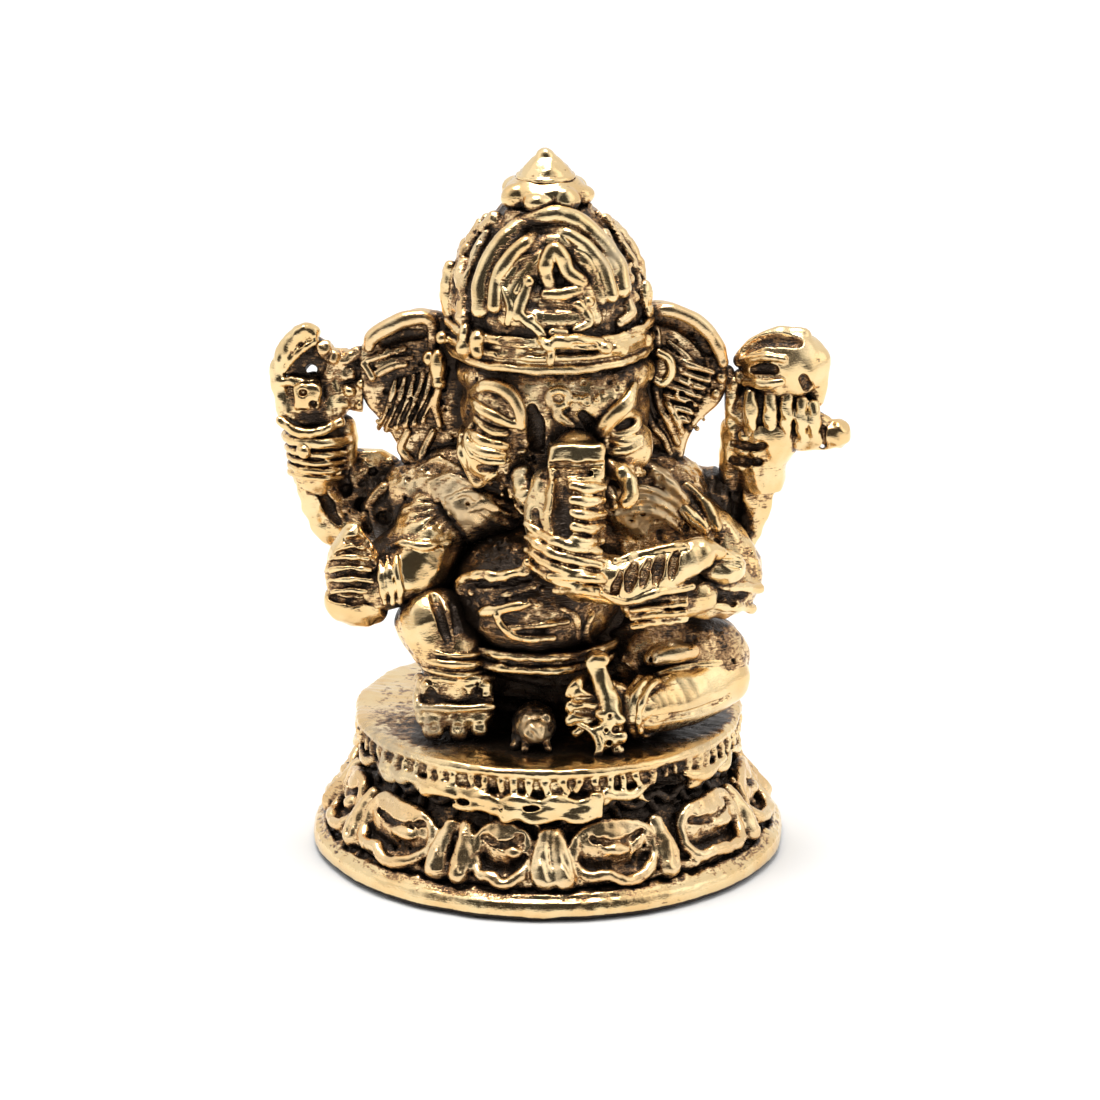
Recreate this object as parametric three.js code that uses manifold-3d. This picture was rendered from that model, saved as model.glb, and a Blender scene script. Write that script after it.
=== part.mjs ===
// A pocket-size brass statuette of the elephant-headed deity, seated on a round lotus pedestal.
// It is solid cast brass. Each mesh is one element that the caster's wax pattern is put together from.
// Millimetres, +Z up. The figure faces -Y, and its own right hand is on the -X side.
// The origin is the centre of the pedestal's underside.
import * as THREE from "three";
import { mergeVertices } from "three/addons/utils/BufferGeometryUtils.js";
import Module from "manifold-3d";

const wasm = await Module();
wasm.setup();

// ---------------------------------------------------------------- driving dimensions
const HEIGHT = 31.4;
const BASE_RADIUS = 10.5;
const PLATE_HEIGHT = 1.1;
const BELL_TOP = 3.7;
const SEAT_RADIUS = 8.6;
const SEAT_BOTTOM = 4.45;
const SEAT_TOP = 6.2;
const BROAD_PETAL_TURNS = [-151, -101, -71, -31, 9, 49, 89, 129, 169]; // degrees from +X
const CROWN_AXIS = [-0.1, -0.5];
const CROWN_BAND_BOTTOM = 22.7;
const CROWN_BAND_TOP = 24.0;
const DOME_TOP = 28.9;
const FINIAL_RING_TOP = 29.9;
const EAR_THICKNESS = 1.1;
const SEAM = 0.06; // left open between neighbouring elements

// Half widths of the crown's dome by height, from the band to the top.
const DOME = [
  [4.3, CROWN_BAND_TOP],
  [4.15, 25.4],
  [3.75, 26.8],
  [3.0, 28.1],
  [2.1, DOME_TOP],
];

// The arch on the dome's front, as [x, z] points.
const ARCH = [
  [-3.1, 24.4],
  [-2.8, 26.2],
  [-1.7, 27.7],
  [0.2, 28.4],
  [2.0, 27.7],
  [2.9, 26.3],
  [3.1, 24.5],
];

// Facets round a ball, a limb and a disc.
const BALL_SIDES = 10;
const LIMB_SIDES = 8;
const DISC_SIDES = 36;

// Centres and joints of the figure, each an [x, y, z] point.
const HEAD = [0.3, -0.9, 20.0];
const CHEST = [0.2, 0.8, 14.2];
const BELLY = [-0.5, -2.3, 12.3];
const WAIST = [-0.4, -1.7, 9.75];
const HIPS = [0.4, 0.9, 8.2];
const ARMLET_RIGHT = [-7.0, 0.9, 15.2];
const ARMLET_LEFT = [7.0, 0.9, 15.2];
const WRIST_UPPER_RIGHT = [-10.1, 0.5, 17.7];
const WRIST_UPPER_LEFT = [9.6, 0.5, 17.6];
const ELBOW_LOWER_RIGHT = [-5.2, -2.6, 13.1];
const ELBOW_LOWER_LEFT = [8.5, -1.5, 12.6];
const KNEE_RIGHT = [-5.2, -3.4, 11.1];
const ANKLE_RIGHT = [-4.1, -3.7, 9.2];
const ANKLE_LEFT = [4.2, -4.9, 7.8];
const EAR_RIGHT_MIDDLE = [-5.9, 0, 20.7];
const EAR_LEFT_MIDDLE = [5.9, 0, 20.7];

// The shoulders' line from one armlet to the other, with a radius at each point.
const SHOULDERS = [
  [-6.9, 0.9, 15.3, 1.5],
  [-4.6, 0.6, 16.1, 1.8],
  [0.2, 0.8, 16.6, 2.0],
  [5.1, 0.6, 16.3, 1.8],
  [6.9, 0.9, 15.3, 1.5],
];

// The trunk's centre line from the forehead to its tip, with a radius at each point.
const TRUNK = [
  [1.0, -4.1, 20.6, 1.35],
  [1.3, -5.1, 18.6, 1.45],
  [0.8, -5.8, 16.4, 1.35],
  [0.8, -6.2, 14.9, 1.25],
  [2.0, -6.4, 14.0, 1.15],
  [3.7, -6.3, 14.1, 1.1],
  [5.3, -5.8, 14.7, 1.0],
  [6.5, -5.4, 15.1, 0.7],
];

// The ears' outlines, as [x, z] points.
const EAR_RIGHT = [
  [-3.9, 23.0],
  [-5.6, 24.3],
  [-7.4, 23.7],
  [-8.2, 22.2],
  [-7.7, 20.2],
  [-6.4, 18.6],
  [-5.3, 16.9],
  [-4.2, 17.0],
  [-3.5, 19.4],
];
const EAR_LEFT = [
  [3.9, 23.0],
  [5.5, 24.4],
  [7.1, 23.7],
  [7.9, 22.1],
  [7.7, 20.6],
  [6.8, 18.9],
  [6.1, 17.2],
  [5.1, 17.1],
  [3.9, 19.4],
];

// ---------------------------------------------------------------- shapes
function solid(geometry) {
  const bare = new THREE.BufferGeometry();
  bare.setAttribute("position", geometry.getAttribute("position"));
  bare.setIndex(geometry.index);
  const merged = mergeVertices(bare, 1e-4);
  const corners = merged.index.array;
  const kept = [];
  for (let i = 0; i < corners.length; i += 3) {
    const [a, b, c] = [corners[i], corners[i + 1], corners[i + 2]];
    if (a !== b && b !== c && a !== c) kept.push(a, b, c);
  }
  const vertProperties = merged.attributes.position.array;
  return new wasm.Manifold(new wasm.Mesh({ numProp: 3, vertProperties, triVerts: new Uint32Array(kept) }));
}

function joined(pieces) {
  return pieces.reduce((whole, piece) => whole.add(piece));
}

// An ellipsoid. turn holds its rotations about X, Y and Z in degrees.
function ball([x, y, z], [rx, ry, rz], grow = 0, turn = [0, 0, 0], sides = BALL_SIDES) {
  const geometry = new THREE.SphereGeometry(1, sides, sides / 2);
  geometry.rotateX(Math.PI / 2);
  geometry.scale(rx + grow, ry + grow, rz + grow);
  const euler = new THREE.Euler(...turn.map(THREE.MathUtils.degToRad));
  geometry.applyMatrix4(new THREE.Matrix4().makeRotationFromEuler(euler));
  geometry.translate(x, y, z);
  return solid(geometry);
}

// A solid of revolution about +Z from a profile of [radius, height] points that starts and ends on the axis.
function turned(profile, sides = DISC_SIDES, [x, y] = [0, 0]) {
  const geometry = new THREE.LatheGeometry(profile.map(([r, z]) => new THREE.Vector2(r, z)), sides);
  geometry.rotateX(Math.PI / 2);
  geometry.translate(x, y, 0);
  return solid(geometry);
}

// A round-ended limb through points of [x, y, z, radius]. Its bends are smooth.
function limb(points, grow = 0, sides = LIMB_SIDES) {
  const curve = new THREE.CatmullRomCurve3(points.map(([x, y, z]) => new THREE.Vector3(x, y, z)));
  const steps = points.length === 2 ? 1 : (points.length - 1) * 2;
  const stations = [];
  const first = points[0][3] + grow;
  const last = points[points.length - 1][3] + grow;
  stations.push([0, 0, -first], [0, 0.72 * first, -0.7 * first]);
  for (let i = 0; i <= steps; i++) {
    const place = (i / steps) * (points.length - 1);
    const before = Math.min(Math.floor(place), points.length - 2);
    const radius = points[before][3] + (points[before + 1][3] - points[before][3]) * (place - before);
    stations.push([place / (points.length - 1), radius + grow, 0]);
  }
  stations.push([1, 0.72 * last, 0.7 * last], [1, 0, last]);
  const geometry = new THREE.LatheGeometry(stations.map(([, r], i) => new THREE.Vector2(r, i)), sides);
  const frames = curve.computeFrenetFrames(steps, false);
  const place = geometry.getAttribute("position");
  for (let i = 0; i < place.count; i++) {
    const [x, row, z] = [place.getX(i), Math.round(place.getY(i)), place.getZ(i)];
    const [share, , beyond] = stations[row];
    const frame = Math.round(share * steps);
    const at = curve.getPoint(share);
    at.addScaledVector(frames.tangents[frame], beyond);
    at.addScaledVector(frames.normals[frame], x);
    at.addScaledVector(frames.binormals[frame], -z);
    place.setXYZ(i, at.x, at.y, at.z);
  }
  return solid(geometry);
}

// A cuff of rounded bands round a limb. way is the limb's direction, and radii run along it.
function cuff(centre, way, radii, band, grow = 0) {
  const half = (radii.length * band) / 2;
  const profile = [[0, -half - grow]];
  radii.forEach((radius, i) => {
    const low = i * band - half;
    const end = i === 0 ? -grow : 0;
    const top = i === radii.length - 1 ? grow : 0;
    profile.push([radius - 0.16 + grow, low + end], [radius + grow, low + band / 2]);
    if (i === radii.length - 1) profile.push([radius - 0.16 + grow, low + band + top]);
  });
  profile.push([0, half + grow]);
  const geometry = new THREE.LatheGeometry(profile.map(([r, z]) => new THREE.Vector2(r, z)), 12);
  const up = new THREE.Vector3(0, 1, 0);
  const along = new THREE.Vector3(...way).normalize();
  geometry.applyQuaternion(new THREE.Quaternion().setFromUnitVectors(up, along));
  geometry.translate(...centre);
  return solid(geometry);
}

// A plate with a rounded outline in the XZ plane, centred on depth y.
function earPlate(outline, y, grow) {
  const count = outline.length;
  const centre = outline.reduce(([sx, sz], [x, z]) => [sx + x / count, sz + z / count], [0, 0]);
  const points = outline.map(([x, z]) => {
    const scale = 1 + grow / Math.hypot(x - centre[0], z - centre[1]);
    return new THREE.Vector3(centre[0] + (x - centre[0]) * scale, centre[1] + (z - centre[1]) * scale, 0);
  });
  const curve = new THREE.CatmullRomCurve3(points, true);
  const shape = new THREE.Shape(curve.getPoints(20).slice(0, -1).map((p) => new THREE.Vector2(p.x, p.y)));
  const geometry = new THREE.ExtrudeGeometry(shape, { depth: EAR_THICKNESS + 2 * grow, bevelEnabled: false });
  geometry.deleteAttribute("normal");
  geometry.deleteAttribute("uv");
  geometry.translate(0, 0, -EAR_THICKNESS / 2 - grow);
  geometry.rotateX(Math.PI / 2);
  geometry.translate(0, y, 0);
  return solid(mergeVertices(geometry, 1e-4));
}

// A round ring about +Z.
function ring([x, y, z], [rx, ry], tube, grow = 0, sides = 20) {
  const geometry = new THREE.TorusGeometry(1, 0.5, 6, sides);
  const place = geometry.getAttribute("position");
  for (let i = 0; i < place.count; i++) {
    const angle = Math.atan2(place.getY(i), place.getX(i));
    const out = (Math.hypot(place.getX(i), place.getY(i)) - 1) * 2 * (tube + grow);
    const up = place.getZ(i) * 2 * (tube + grow);
    place.setXYZ(i, Math.cos(angle) * (rx + out), Math.sin(angle) * (ry + out), up);
  }
  geometry.translate(x, y, z);
  return solid(geometry);
}

// A point on the crown dome's front, at half width x and height z, moved out by lift.
function onDome(x, z, lift) {
  const upper = Math.max(1, DOME.findIndex(([, height]) => height >= z));
  const [[ra, za], [rb, zb]] = [DOME[upper - 1], DOME[upper]];
  const radius = ra + ((rb - ra) * (z - za)) / (zb - za) + lift;
  const across = THREE.MathUtils.clamp(x, -radius, radius);
  return [CROWN_AXIS[0] + across, CROWN_AXIS[1] - Math.sqrt(radius * radius - across * across), z];
}

// Broad petals lean on the bell and curl out at the foot, with a narrow one between each two.
function petals(grow) {
  return BROAD_PETAL_TURNS.flatMap((degrees, index) => {
    const next = BROAD_PETAL_TURNS[index + 1] ?? BROAD_PETAL_TURNS[0] + 360;
    const middle = (degrees + next) / 2;
    const at = (radius, z, turn) => {
      const angle = THREE.MathUtils.degToRad(turn);
      return [radius * Math.cos(angle), radius * Math.sin(angle), z];
    };
    return [
      ball(at(8.75, 2.5, degrees), [1.0, 2.2, 1.2], grow, [0, 0, degrees], 8),
      limb([[...at(8.2, 3.2, middle), 0.6], [...at(9.3, 2.1, middle), 0.66]], grow, 6),
    ];
  });
}

// ---------------------------------------------------------------- materials
const polished = new THREE.MeshStandardMaterial({ color: 0xd9a851, roughness: 0.22, metalness: 1 });
polished.name = "polished_brass";
const antiqued = new THREE.MeshStandardMaterial({ color: 0x9c7a3f, roughness: 0.42, metalness: 1 });
antiqued.name = "antiqued_brass";

// ---------------------------------------------------------------- the elements
// Each entry builds its solid with every outside surface moved out by grow. An element is cut by the grown
// solids of those before it in the list, which leaves the seam between them. Small ornaments come first.
const elements = [];

function element(parent, name, material, anchor, build) {
  elements.push({ parent, name, material, anchor, build });
}

function lump(parent, name, material, centre, radii, turn) {
  element(parent, name, material, centre, (g) => ball(centre, radii, g, turn));
}

function strand(parent, name, material, points, sides) {
  element(parent, name, material, points[0].slice(0, 3), (g) => limb(points, g, sides));
}

// A limb with a sharp elbow at each of its inner points.
function elbowed(parent, name, material, points) {
  element(parent, name, material, points[0].slice(0, 3), (g) =>
    joined(points.slice(1).map((end, i) => limb([points[i], end], g))),
  );
}

function bangles(parent, name, material, centre, way, radii, band) {
  element(parent, name, material, centre, (g) => cuff(centre, way, radii, band, g));
}

// A round of the pedestal, whose profile starts on the axis at its underside.
function round(name, material, profile) {
  element(pedestal, name, material, [0, 0, profile(0)[0][1]], (g) => turned(profile(g)));
}

function crownRound(name, material, sides, profile) {
  const anchor = [...CROWN_AXIS, profile(0)[0][1]];
  element(crownGroup, name, material, anchor, (g) => turned(profile(g), sides, CROWN_AXIS));
}

function group(name, position, parent) {
  const made = new THREE.Group();
  made.name = name;
  made.position.set(...position);
  parent.add(made);
  return made;
}

const statuette = new THREE.Group();
const pedestal = group("pedestal", [0, 0, 0], statuette);
const figure = group("figure", [0, 0, SEAT_TOP], statuette);
const legs = group("legs", [0, 0, 0], figure);
const body = group("body", [0, 0, 4], figure);
const arms = group("arms", [0, 0, 9.8], figure);
const headGroup = group("head_group", [0, 0, 13.8], figure);
const crownGroup = group("crown_group", [0, 0, 3.2], headGroup);

// ---- face
lump(headGroup, "forehead_mark", polished, [0.6, -4.6, 21.5], [0.5, 0.5, 0.75]);
strand(headGroup, "right_brow", polished, [
  [-3.2, -3.7, 21.2, 0.3],
  [-2.0, -4.3, 21.35, 0.36],
  [-0.9, -4.5, 20.3, 0.34],
], 6);
strand(headGroup, "left_brow", polished, [
  [3.7, -3.5, 21.8, 0.3],
  [2.9, -4.1, 21.4, 0.36],
  [2.1, -4.4, 20.4, 0.3],
], 6);
lump(headGroup, "right_eye", polished, [-2.3, -4.15, 19.7], [1.2, 0.65, 0.85]);
lump(headGroup, "left_eye", polished, [3.2, -4.0, 20.0], [1.0, 0.65, 0.85]);
strand(headGroup, "right_tusk", polished, [[-0.6, -4.0, 18.3, 0.6], [-0.9, -5.3, 17.5, 0.5]]);
strand(headGroup, "left_tusk", polished, [[3.0, -4.0, 18.3, 0.6], [3.5, -5.3, 17.5, 0.5]]);
strand(headGroup, "trunk", polished, TRUNK, 10);
lump(headGroup, "right_ear_jewel", polished, [-4.7, -0.8, 21.9], [0.6, 0.6, 0.9]);
lump(headGroup, "left_ear_jewel", polished, [5.0, -0.8, 22.0], [0.6, 0.6, 0.9]);
element(headGroup, "right_ear", antiqued, EAR_RIGHT_MIDDLE, (g) => earPlate(EAR_RIGHT, EAR_RIGHT_MIDDLE[1], g));
element(headGroup, "left_ear", antiqued, EAR_LEFT_MIDDLE, (g) => earPlate(EAR_LEFT, EAR_LEFT_MIDDLE[1], g));

// ---- crown
lump(crownGroup, "crown_crest", polished, onDome(0.3, 25.7, 0.1), [1.5, 0.8, 1.55]);
strand(crownGroup, "crown_arch", polished, ARCH.map(([x, z]) => [...onDome(x, z, 0.15), 0.42]), 6);
strand(crownGroup, "crown_side_lock_right", polished, [
  [-4.3, -1.0, 24.5, 0.5],
  [-4.3, -0.9, 25.4, 0.62],
  [-3.9, -0.7, 26.2, 0.45],
]);
strand(crownGroup, "crown_side_lock_left", polished, [[4.2, -1.1, 24.5, 0.5], [4.1, -1.0, 25.4, 0.5]]);
crownRound("crown_band", polished, 26, (g) => [
  [0, CROWN_BAND_BOTTOM - g],
  [4.4 + g, CROWN_BAND_BOTTOM - g],
  [4.65 + g, 23.0],
  [4.4 + g, 23.35],
  [4.65 + g, 23.7],
  [4.45 + g, CROWN_BAND_TOP + g],
  [0, CROWN_BAND_TOP + g],
]);
crownRound("finial_ring", polished, 16, (g) => [
  [0, DOME_TOP - g],
  [1.5 + g, DOME_TOP - g],
  [2.0 + g, DOME_TOP + 0.4],
  [1.7 + g, FINIAL_RING_TOP + g],
  [0, FINIAL_RING_TOP + g],
]);
crownRound("finial_tip", polished, 12, (g) => [
  [0, FINIAL_RING_TOP - g],
  [1.2 + g, FINIAL_RING_TOP - g],
  [1.0 + g, HEIGHT - 0.8],
  [0.4 + g, HEIGHT - 0.15 + g],
  [0, HEIGHT + g],
]);
crownRound("crown_dome", antiqued, 20, (g) => [
  [0, CROWN_BAND_TOP - g],
  ...DOME.map(([radius, z]) => [radius + g, z]),
  [0, DOME_TOP + g],
]);

// ---- what the hands hold, and what lies at the feet
lump(arms, "sweet", polished, [7.5, -4.5, 14.0], [1.1, 0.9, 0.8]);
strand(arms, "goad", antiqued, [
  [-11.0, -0.2, 21.4, 0.35],
  [-9.7, -0.3, 21.5, 0.55],
  [-9.2, -0.1, 22.5, 0.5],
]);
lump(arms, "lotus_bud", polished, [10.5, 0.1, 21.9], [1.95, 1.5, 1.6], [0, 20, 0]);
strand(legs, "front_sash", polished, [
  [1.9, -5.6, 10.0, 0.5],
  [2.3, -6.4, 8.4, 0.5],
  [2.2, -6.5, 6.9, 0.55],
]);
strand(legs, "mouse", antiqued, [
  [-0.5, -4.4, 7.1, 0.85],
  [-0.5, -5.4, 7.15, 0.8],
  [-0.45, -6.2, 7.1, 0.5],
]);

// ---- what the body wears
strand(body, "chest_band", polished, [
  [-3.7, -2.9, 14.5, 0.42],
  [-2.5, -4.6, 13.9, 0.45],
  [-1.1, -5.2, 13.9, 0.42],
], 6);
element(body, "belt", polished, WAIST, (g) => ring(WAIST, [3.5, 3.45], 0.36, g));

// ---- arms, each from the hand inwards
bangles(arms, "upper_right_bracelet", polished, WRIST_UPPER_RIGHT, [-0.2, -0.1, 1], [1.6, 1.65, 1.7], 0.6);
element(arms, "upper_right_hand", polished, [-10.35, 0.2, 19.9], (g) =>
  joined([
    ball([-10.35, 0.2, 19.9], [1.7, 1.1, 1.6], g),
    limb([[-11.2, 0.1, 20.4, 0.55], [-11.6, 0, 21.9, 0.45], [-10.9, 0, 23.1, 0.5]], g, 6),
  ]),
);
bangles(arms, "upper_right_armlet", antiqued, ARMLET_RIGHT, [4.1, -0.2, 1.6], [1.75, 1.75], 0.45);
elbowed(arms, "upper_right_arm", polished, [
  [...ARMLET_RIGHT, 1.5],
  [-9.6, 1.0, 14.5, 1.3],
  [...WRIST_UPPER_RIGHT, 1.3],
]);
bangles(arms, "upper_left_bracelet", polished, WRIST_UPPER_LEFT, [0.25, -0.1, 1], [1.5, 1.55], 0.6);
element(arms, "upper_left_hand", polished, [10.0, 0.2, 19.6], (g) =>
  joined([
    ball([10.0, 0.2, 19.6], [1.75, 1.1, 1.7], g),
    limb([[11.2, 0.3, 18.9, 0.5], [12.7, 0.4, 18.7, 0.55]], g, 6),
  ]),
);
bangles(arms, "upper_left_armlet", antiqued, ARMLET_LEFT, [-3.3, -0.2, 1.8], [1.7, 1.7], 0.45);
elbowed(arms, "upper_left_arm", polished, [
  [...ARMLET_LEFT, 1.45],
  [8.7, 1.0, 14.4, 1.2],
  [...WRIST_UPPER_LEFT, 1.2],
]);
strand(arms, "lower_right_fingers", polished, [[-8.7, -3.1, 13.1, 1.05], [-8.6, -3.0, 14.6, 0.65]]);
lump(arms, "lower_right_palm", polished, [-8.4, -3.2, 11.8], [1.2, 1.05, 1.15]);
elbowed(arms, "lower_right_arm", polished, [
  [-4.9, -0.9, 16.0, 1.5],
  [...ELBOW_LOWER_RIGHT, 1.55],
  [-7.4, -3.0, 12.6, 1.1],
]);
strand(arms, "lower_left_hand", polished, [
  [6.3, -4.6, 12.7, 0.95],
  [4.9, -5.2, 12.6, 0.75],
  [3.6, -5.4, 12.5, 0.5],
]);
elbowed(arms, "lower_left_arm", polished, [
  [5.7, -0.6, 16.0, 1.4],
  [...ELBOW_LOWER_LEFT, 1.15],
  [6.7, -4.2, 12.6, 1.0],
]);

// ---- legs, each from the foot inwards
bangles(legs, "right_anklet", polished, [-4.05, -3.75, 9.6], [-0.35, 0.1, 1], [1.85, 1.8], 0.5);
element(legs, "right_foot", polished, [-3.75, -3.9, 7.6], (g) =>
  joined([
    ball([-3.75, -3.9, 7.6], [1.65, 1.7, 1.5], g),
    limb([[-4.6, -4.7, 6.85, 0.7], [-2.9, -4.7, 6.85, 0.7]], g, 6),
  ]),
);
strand(legs, "right_shin", polished, [[...KNEE_RIGHT, 1.6], [...ANKLE_RIGHT, 1.55]]);
bangles(legs, "left_anklet", polished, ANKLE_LEFT, [0.8, 0.62, 0.1], [1.6, 1.65], 0.45);
element(legs, "left_foot", polished, [2.8, -5.4, 7.9], (g) =>
  joined([
    ball([2.8, -5.4, 7.9], [1.25, 1.0, 1.4], g),
    limb([[1.5, -5.8, 8.8, 0.5], [1.8, -5.8, 7.3, 0.5]], g, 6),
  ]),
);
strand(legs, "left_shin", polished, [[6.7, -2.6, 7.9, 1.75], [...ANKLE_LEFT, 1.45]]);

// ---- the large masses
element(headGroup, "head", polished, HEAD, (g) =>
  joined([
    ball(HEAD, [4.1, 3.8, 3.6], g, [0, 0, 0], 14),
    ball([0.2, 0.6, 18.4], [3.2, 2.8, 2.2], g),
    ball([-2.2, -2.8, 18.9], [1.8, 1.5, 2.3], g),
    ball([3.0, -2.8, 19.1], [1.7, 1.5, 2.2], g),
  ]),
);
element(body, "belly", polished, BELLY, (g) => ball(BELLY, [3.7, 3.3, 2.9], g, [0, 0, 0], 14));
element(body, "torso", antiqued, CHEST, (g) =>
  joined([ball(CHEST, [4.5, 3.1, 4.2], g, [0, 0, 0], 14), limb(SHOULDERS, g)]),
);
strand(legs, "right_thigh", antiqued, [[-3.0, -0.2, 8.6, 2.0], [...KNEE_RIGHT, 1.6]]);
strand(legs, "left_thigh", antiqued, [[3.0, -1.2, 8.9, 2.1], [6.9, -2.1, 8.4, 2.0]]);
element(body, "lower_body", antiqued, HIPS, (g) => ball(HIPS, [6.2, 4.4, 3.3], g, [0, 0, 0], 14));

// ---- pedestal, from the seat down
round("seat_disc", polished, (g) => [
  [0, SEAT_BOTTOM - g],
  [8.1 + g, SEAT_BOTTOM - g],
  [8.45 + g, SEAT_TOP - 1.25],
  [8.2 + g, SEAT_TOP - 0.8],
  [SEAT_RADIUS + g, SEAT_TOP - 0.5],
  [SEAT_RADIUS - 0.15 + g, SEAT_TOP + g],
  [0, SEAT_TOP + g],
]);
round("waist_moulding", antiqued, (g) => [
  [0, BELL_TOP - g],
  [7.5 + g, BELL_TOP - g],
  [7.9 + g, 4.0],
  [7.9 + g, SEAT_BOTTOM + g],
  [0, SEAT_BOTTOM + g],
]);
element(pedestal, "lotus_bell", antiqued, [0, 0, PLATE_HEIGHT], (g) =>
  joined([
    turned([
      [0, PLATE_HEIGHT - g],
      [9.2 + g, PLATE_HEIGHT - g],
      [9.1 + g, 2.2],
      [8.5 + g, 3.2],
      [7.7 + g, BELL_TOP + g],
      [0, BELL_TOP + g],
    ]),
    ...petals(g),
  ]),
);
round("base_plate", polished, (g) => [
  [0, -g],
  [BASE_RADIUS - 0.2, -g],
  [BASE_RADIUS + g, 0.25],
  [BASE_RADIUS + g, 0.8],
  [BASE_RADIUS - 0.3 + g, PLATE_HEIGHT + g],
  [0, PLATE_HEIGHT + g],
]);

// ---------------------------------------------------------------- cutting and assembly
function meet(a, b) {
  const [p, q] = [a.boundingBox(), b.boundingBox()];
  return [0, 1, 2].every((i) => p.min[i] <= q.max[i] && q.min[i] <= p.max[i]);
}

function largest(whole) {
  return whole.decompose().reduce((a, b) => (a.volume() > b.volume() ? a : b));
}

function asMesh(manifold, anchor, name, material) {
  const mesh = manifold.getMesh();
  const geometry = new THREE.BufferGeometry();
  geometry.setAttribute("position", new THREE.BufferAttribute(mesh.vertProperties, 3));
  geometry.setIndex(new THREE.BufferAttribute(mesh.triVerts, 1));
  geometry.translate(-anchor[0], -anchor[1], -anchor[2]);
  geometry.computeVertexNormals();
  const made = new THREE.Mesh(geometry, material);
  made.name = name;
  return made;
}

statuette.updateMatrixWorld(true);
const grown = [];
for (const { parent, name, material, anchor, build } of elements) {
  let shape = build(0);
  for (const cutter of grown) {
    if (meet(shape, cutter)) shape = shape.subtract(cutter);
  }
  grown.push(build(SEAM));
  const mesh = asMesh(largest(shape), anchor, name, material);
  mesh.position.copy(parent.worldToLocal(new THREE.Vector3(...anchor)));
  parent.add(mesh);
}

export default statuette;
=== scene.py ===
"""A pocket-size cast brass statuette of the elephant-headed deity on a lotus pedestal.

Each piece is modelled like its wax: lumps, rods and rounds are melted together, then lines are raised or cut
on the surface. A piece is a signed distance field, negative inside, turned into a mesh. Its lattice covers
the box of its CAD node and a margin, and nothing reaches further. Measurements are in millimetres from the
middle of the base plate's underside, which the frame gives. Points have X, Y and Z, and a radius last where
there is one. The figure faces -Y. Its own right is the -X side.
"""

import math

import bpy
import numpy as np
import openvdb
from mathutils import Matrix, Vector


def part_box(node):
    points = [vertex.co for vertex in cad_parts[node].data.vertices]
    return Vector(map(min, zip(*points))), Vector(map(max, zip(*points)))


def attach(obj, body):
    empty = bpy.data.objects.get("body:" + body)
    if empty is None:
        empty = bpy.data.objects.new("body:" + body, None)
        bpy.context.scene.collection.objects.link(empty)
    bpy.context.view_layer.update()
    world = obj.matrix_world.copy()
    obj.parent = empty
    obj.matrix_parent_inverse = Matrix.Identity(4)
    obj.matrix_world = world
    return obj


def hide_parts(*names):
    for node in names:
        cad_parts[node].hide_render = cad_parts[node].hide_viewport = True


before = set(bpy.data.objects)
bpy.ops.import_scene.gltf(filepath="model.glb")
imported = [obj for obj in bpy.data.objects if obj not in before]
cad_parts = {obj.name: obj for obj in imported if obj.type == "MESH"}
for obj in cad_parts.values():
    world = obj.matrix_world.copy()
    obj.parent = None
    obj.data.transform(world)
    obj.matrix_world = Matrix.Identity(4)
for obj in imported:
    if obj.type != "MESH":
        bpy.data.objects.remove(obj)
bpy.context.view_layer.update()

MM = 0.001
CAMERA_LENS = 140.73  # mm, on a sensor 36 mm wide
CAMERA_TILT = 72.515  # degrees up from straight down
FAR = 2.0  # a field's value away from its wax, mm
FINEST, FINE, MIDDLING, MEDIUM = 0.05, 0.06, 0.07, 0.085  # lattice steps, mm
PEDESTAL_STEP, BELL_STEP, COARSE = 0.095, 0.108, 0.12
# Y of the upright planes that lines are drawn on, before they are laid on the wax
FEET, BELT, FRONT, FACE, NEAR, CROWN, SHOULDERS, CHEST, EARS, ARMS = (
    -6.0, -5.3, -5.0, -4.5, -4.0, -3.3, -3.0, -2.0, -0.5, 0.0)
# lines are laid on the wax as seen from here, and the camera stands here
EYE = np.array([0.08, -180.0, 70.03])
plate_low, plate_high = (np.array(corner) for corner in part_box("base_plate"))
# where the measurements start, metres
FOOT = np.array([*(0.5 * (plate_low + plate_high))[:2], plate_low[2]])


def node_box(name):
    low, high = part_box(name)
    return (np.array(low) - FOOT) / MM, (np.array(high) - FOOT) / MM


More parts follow.
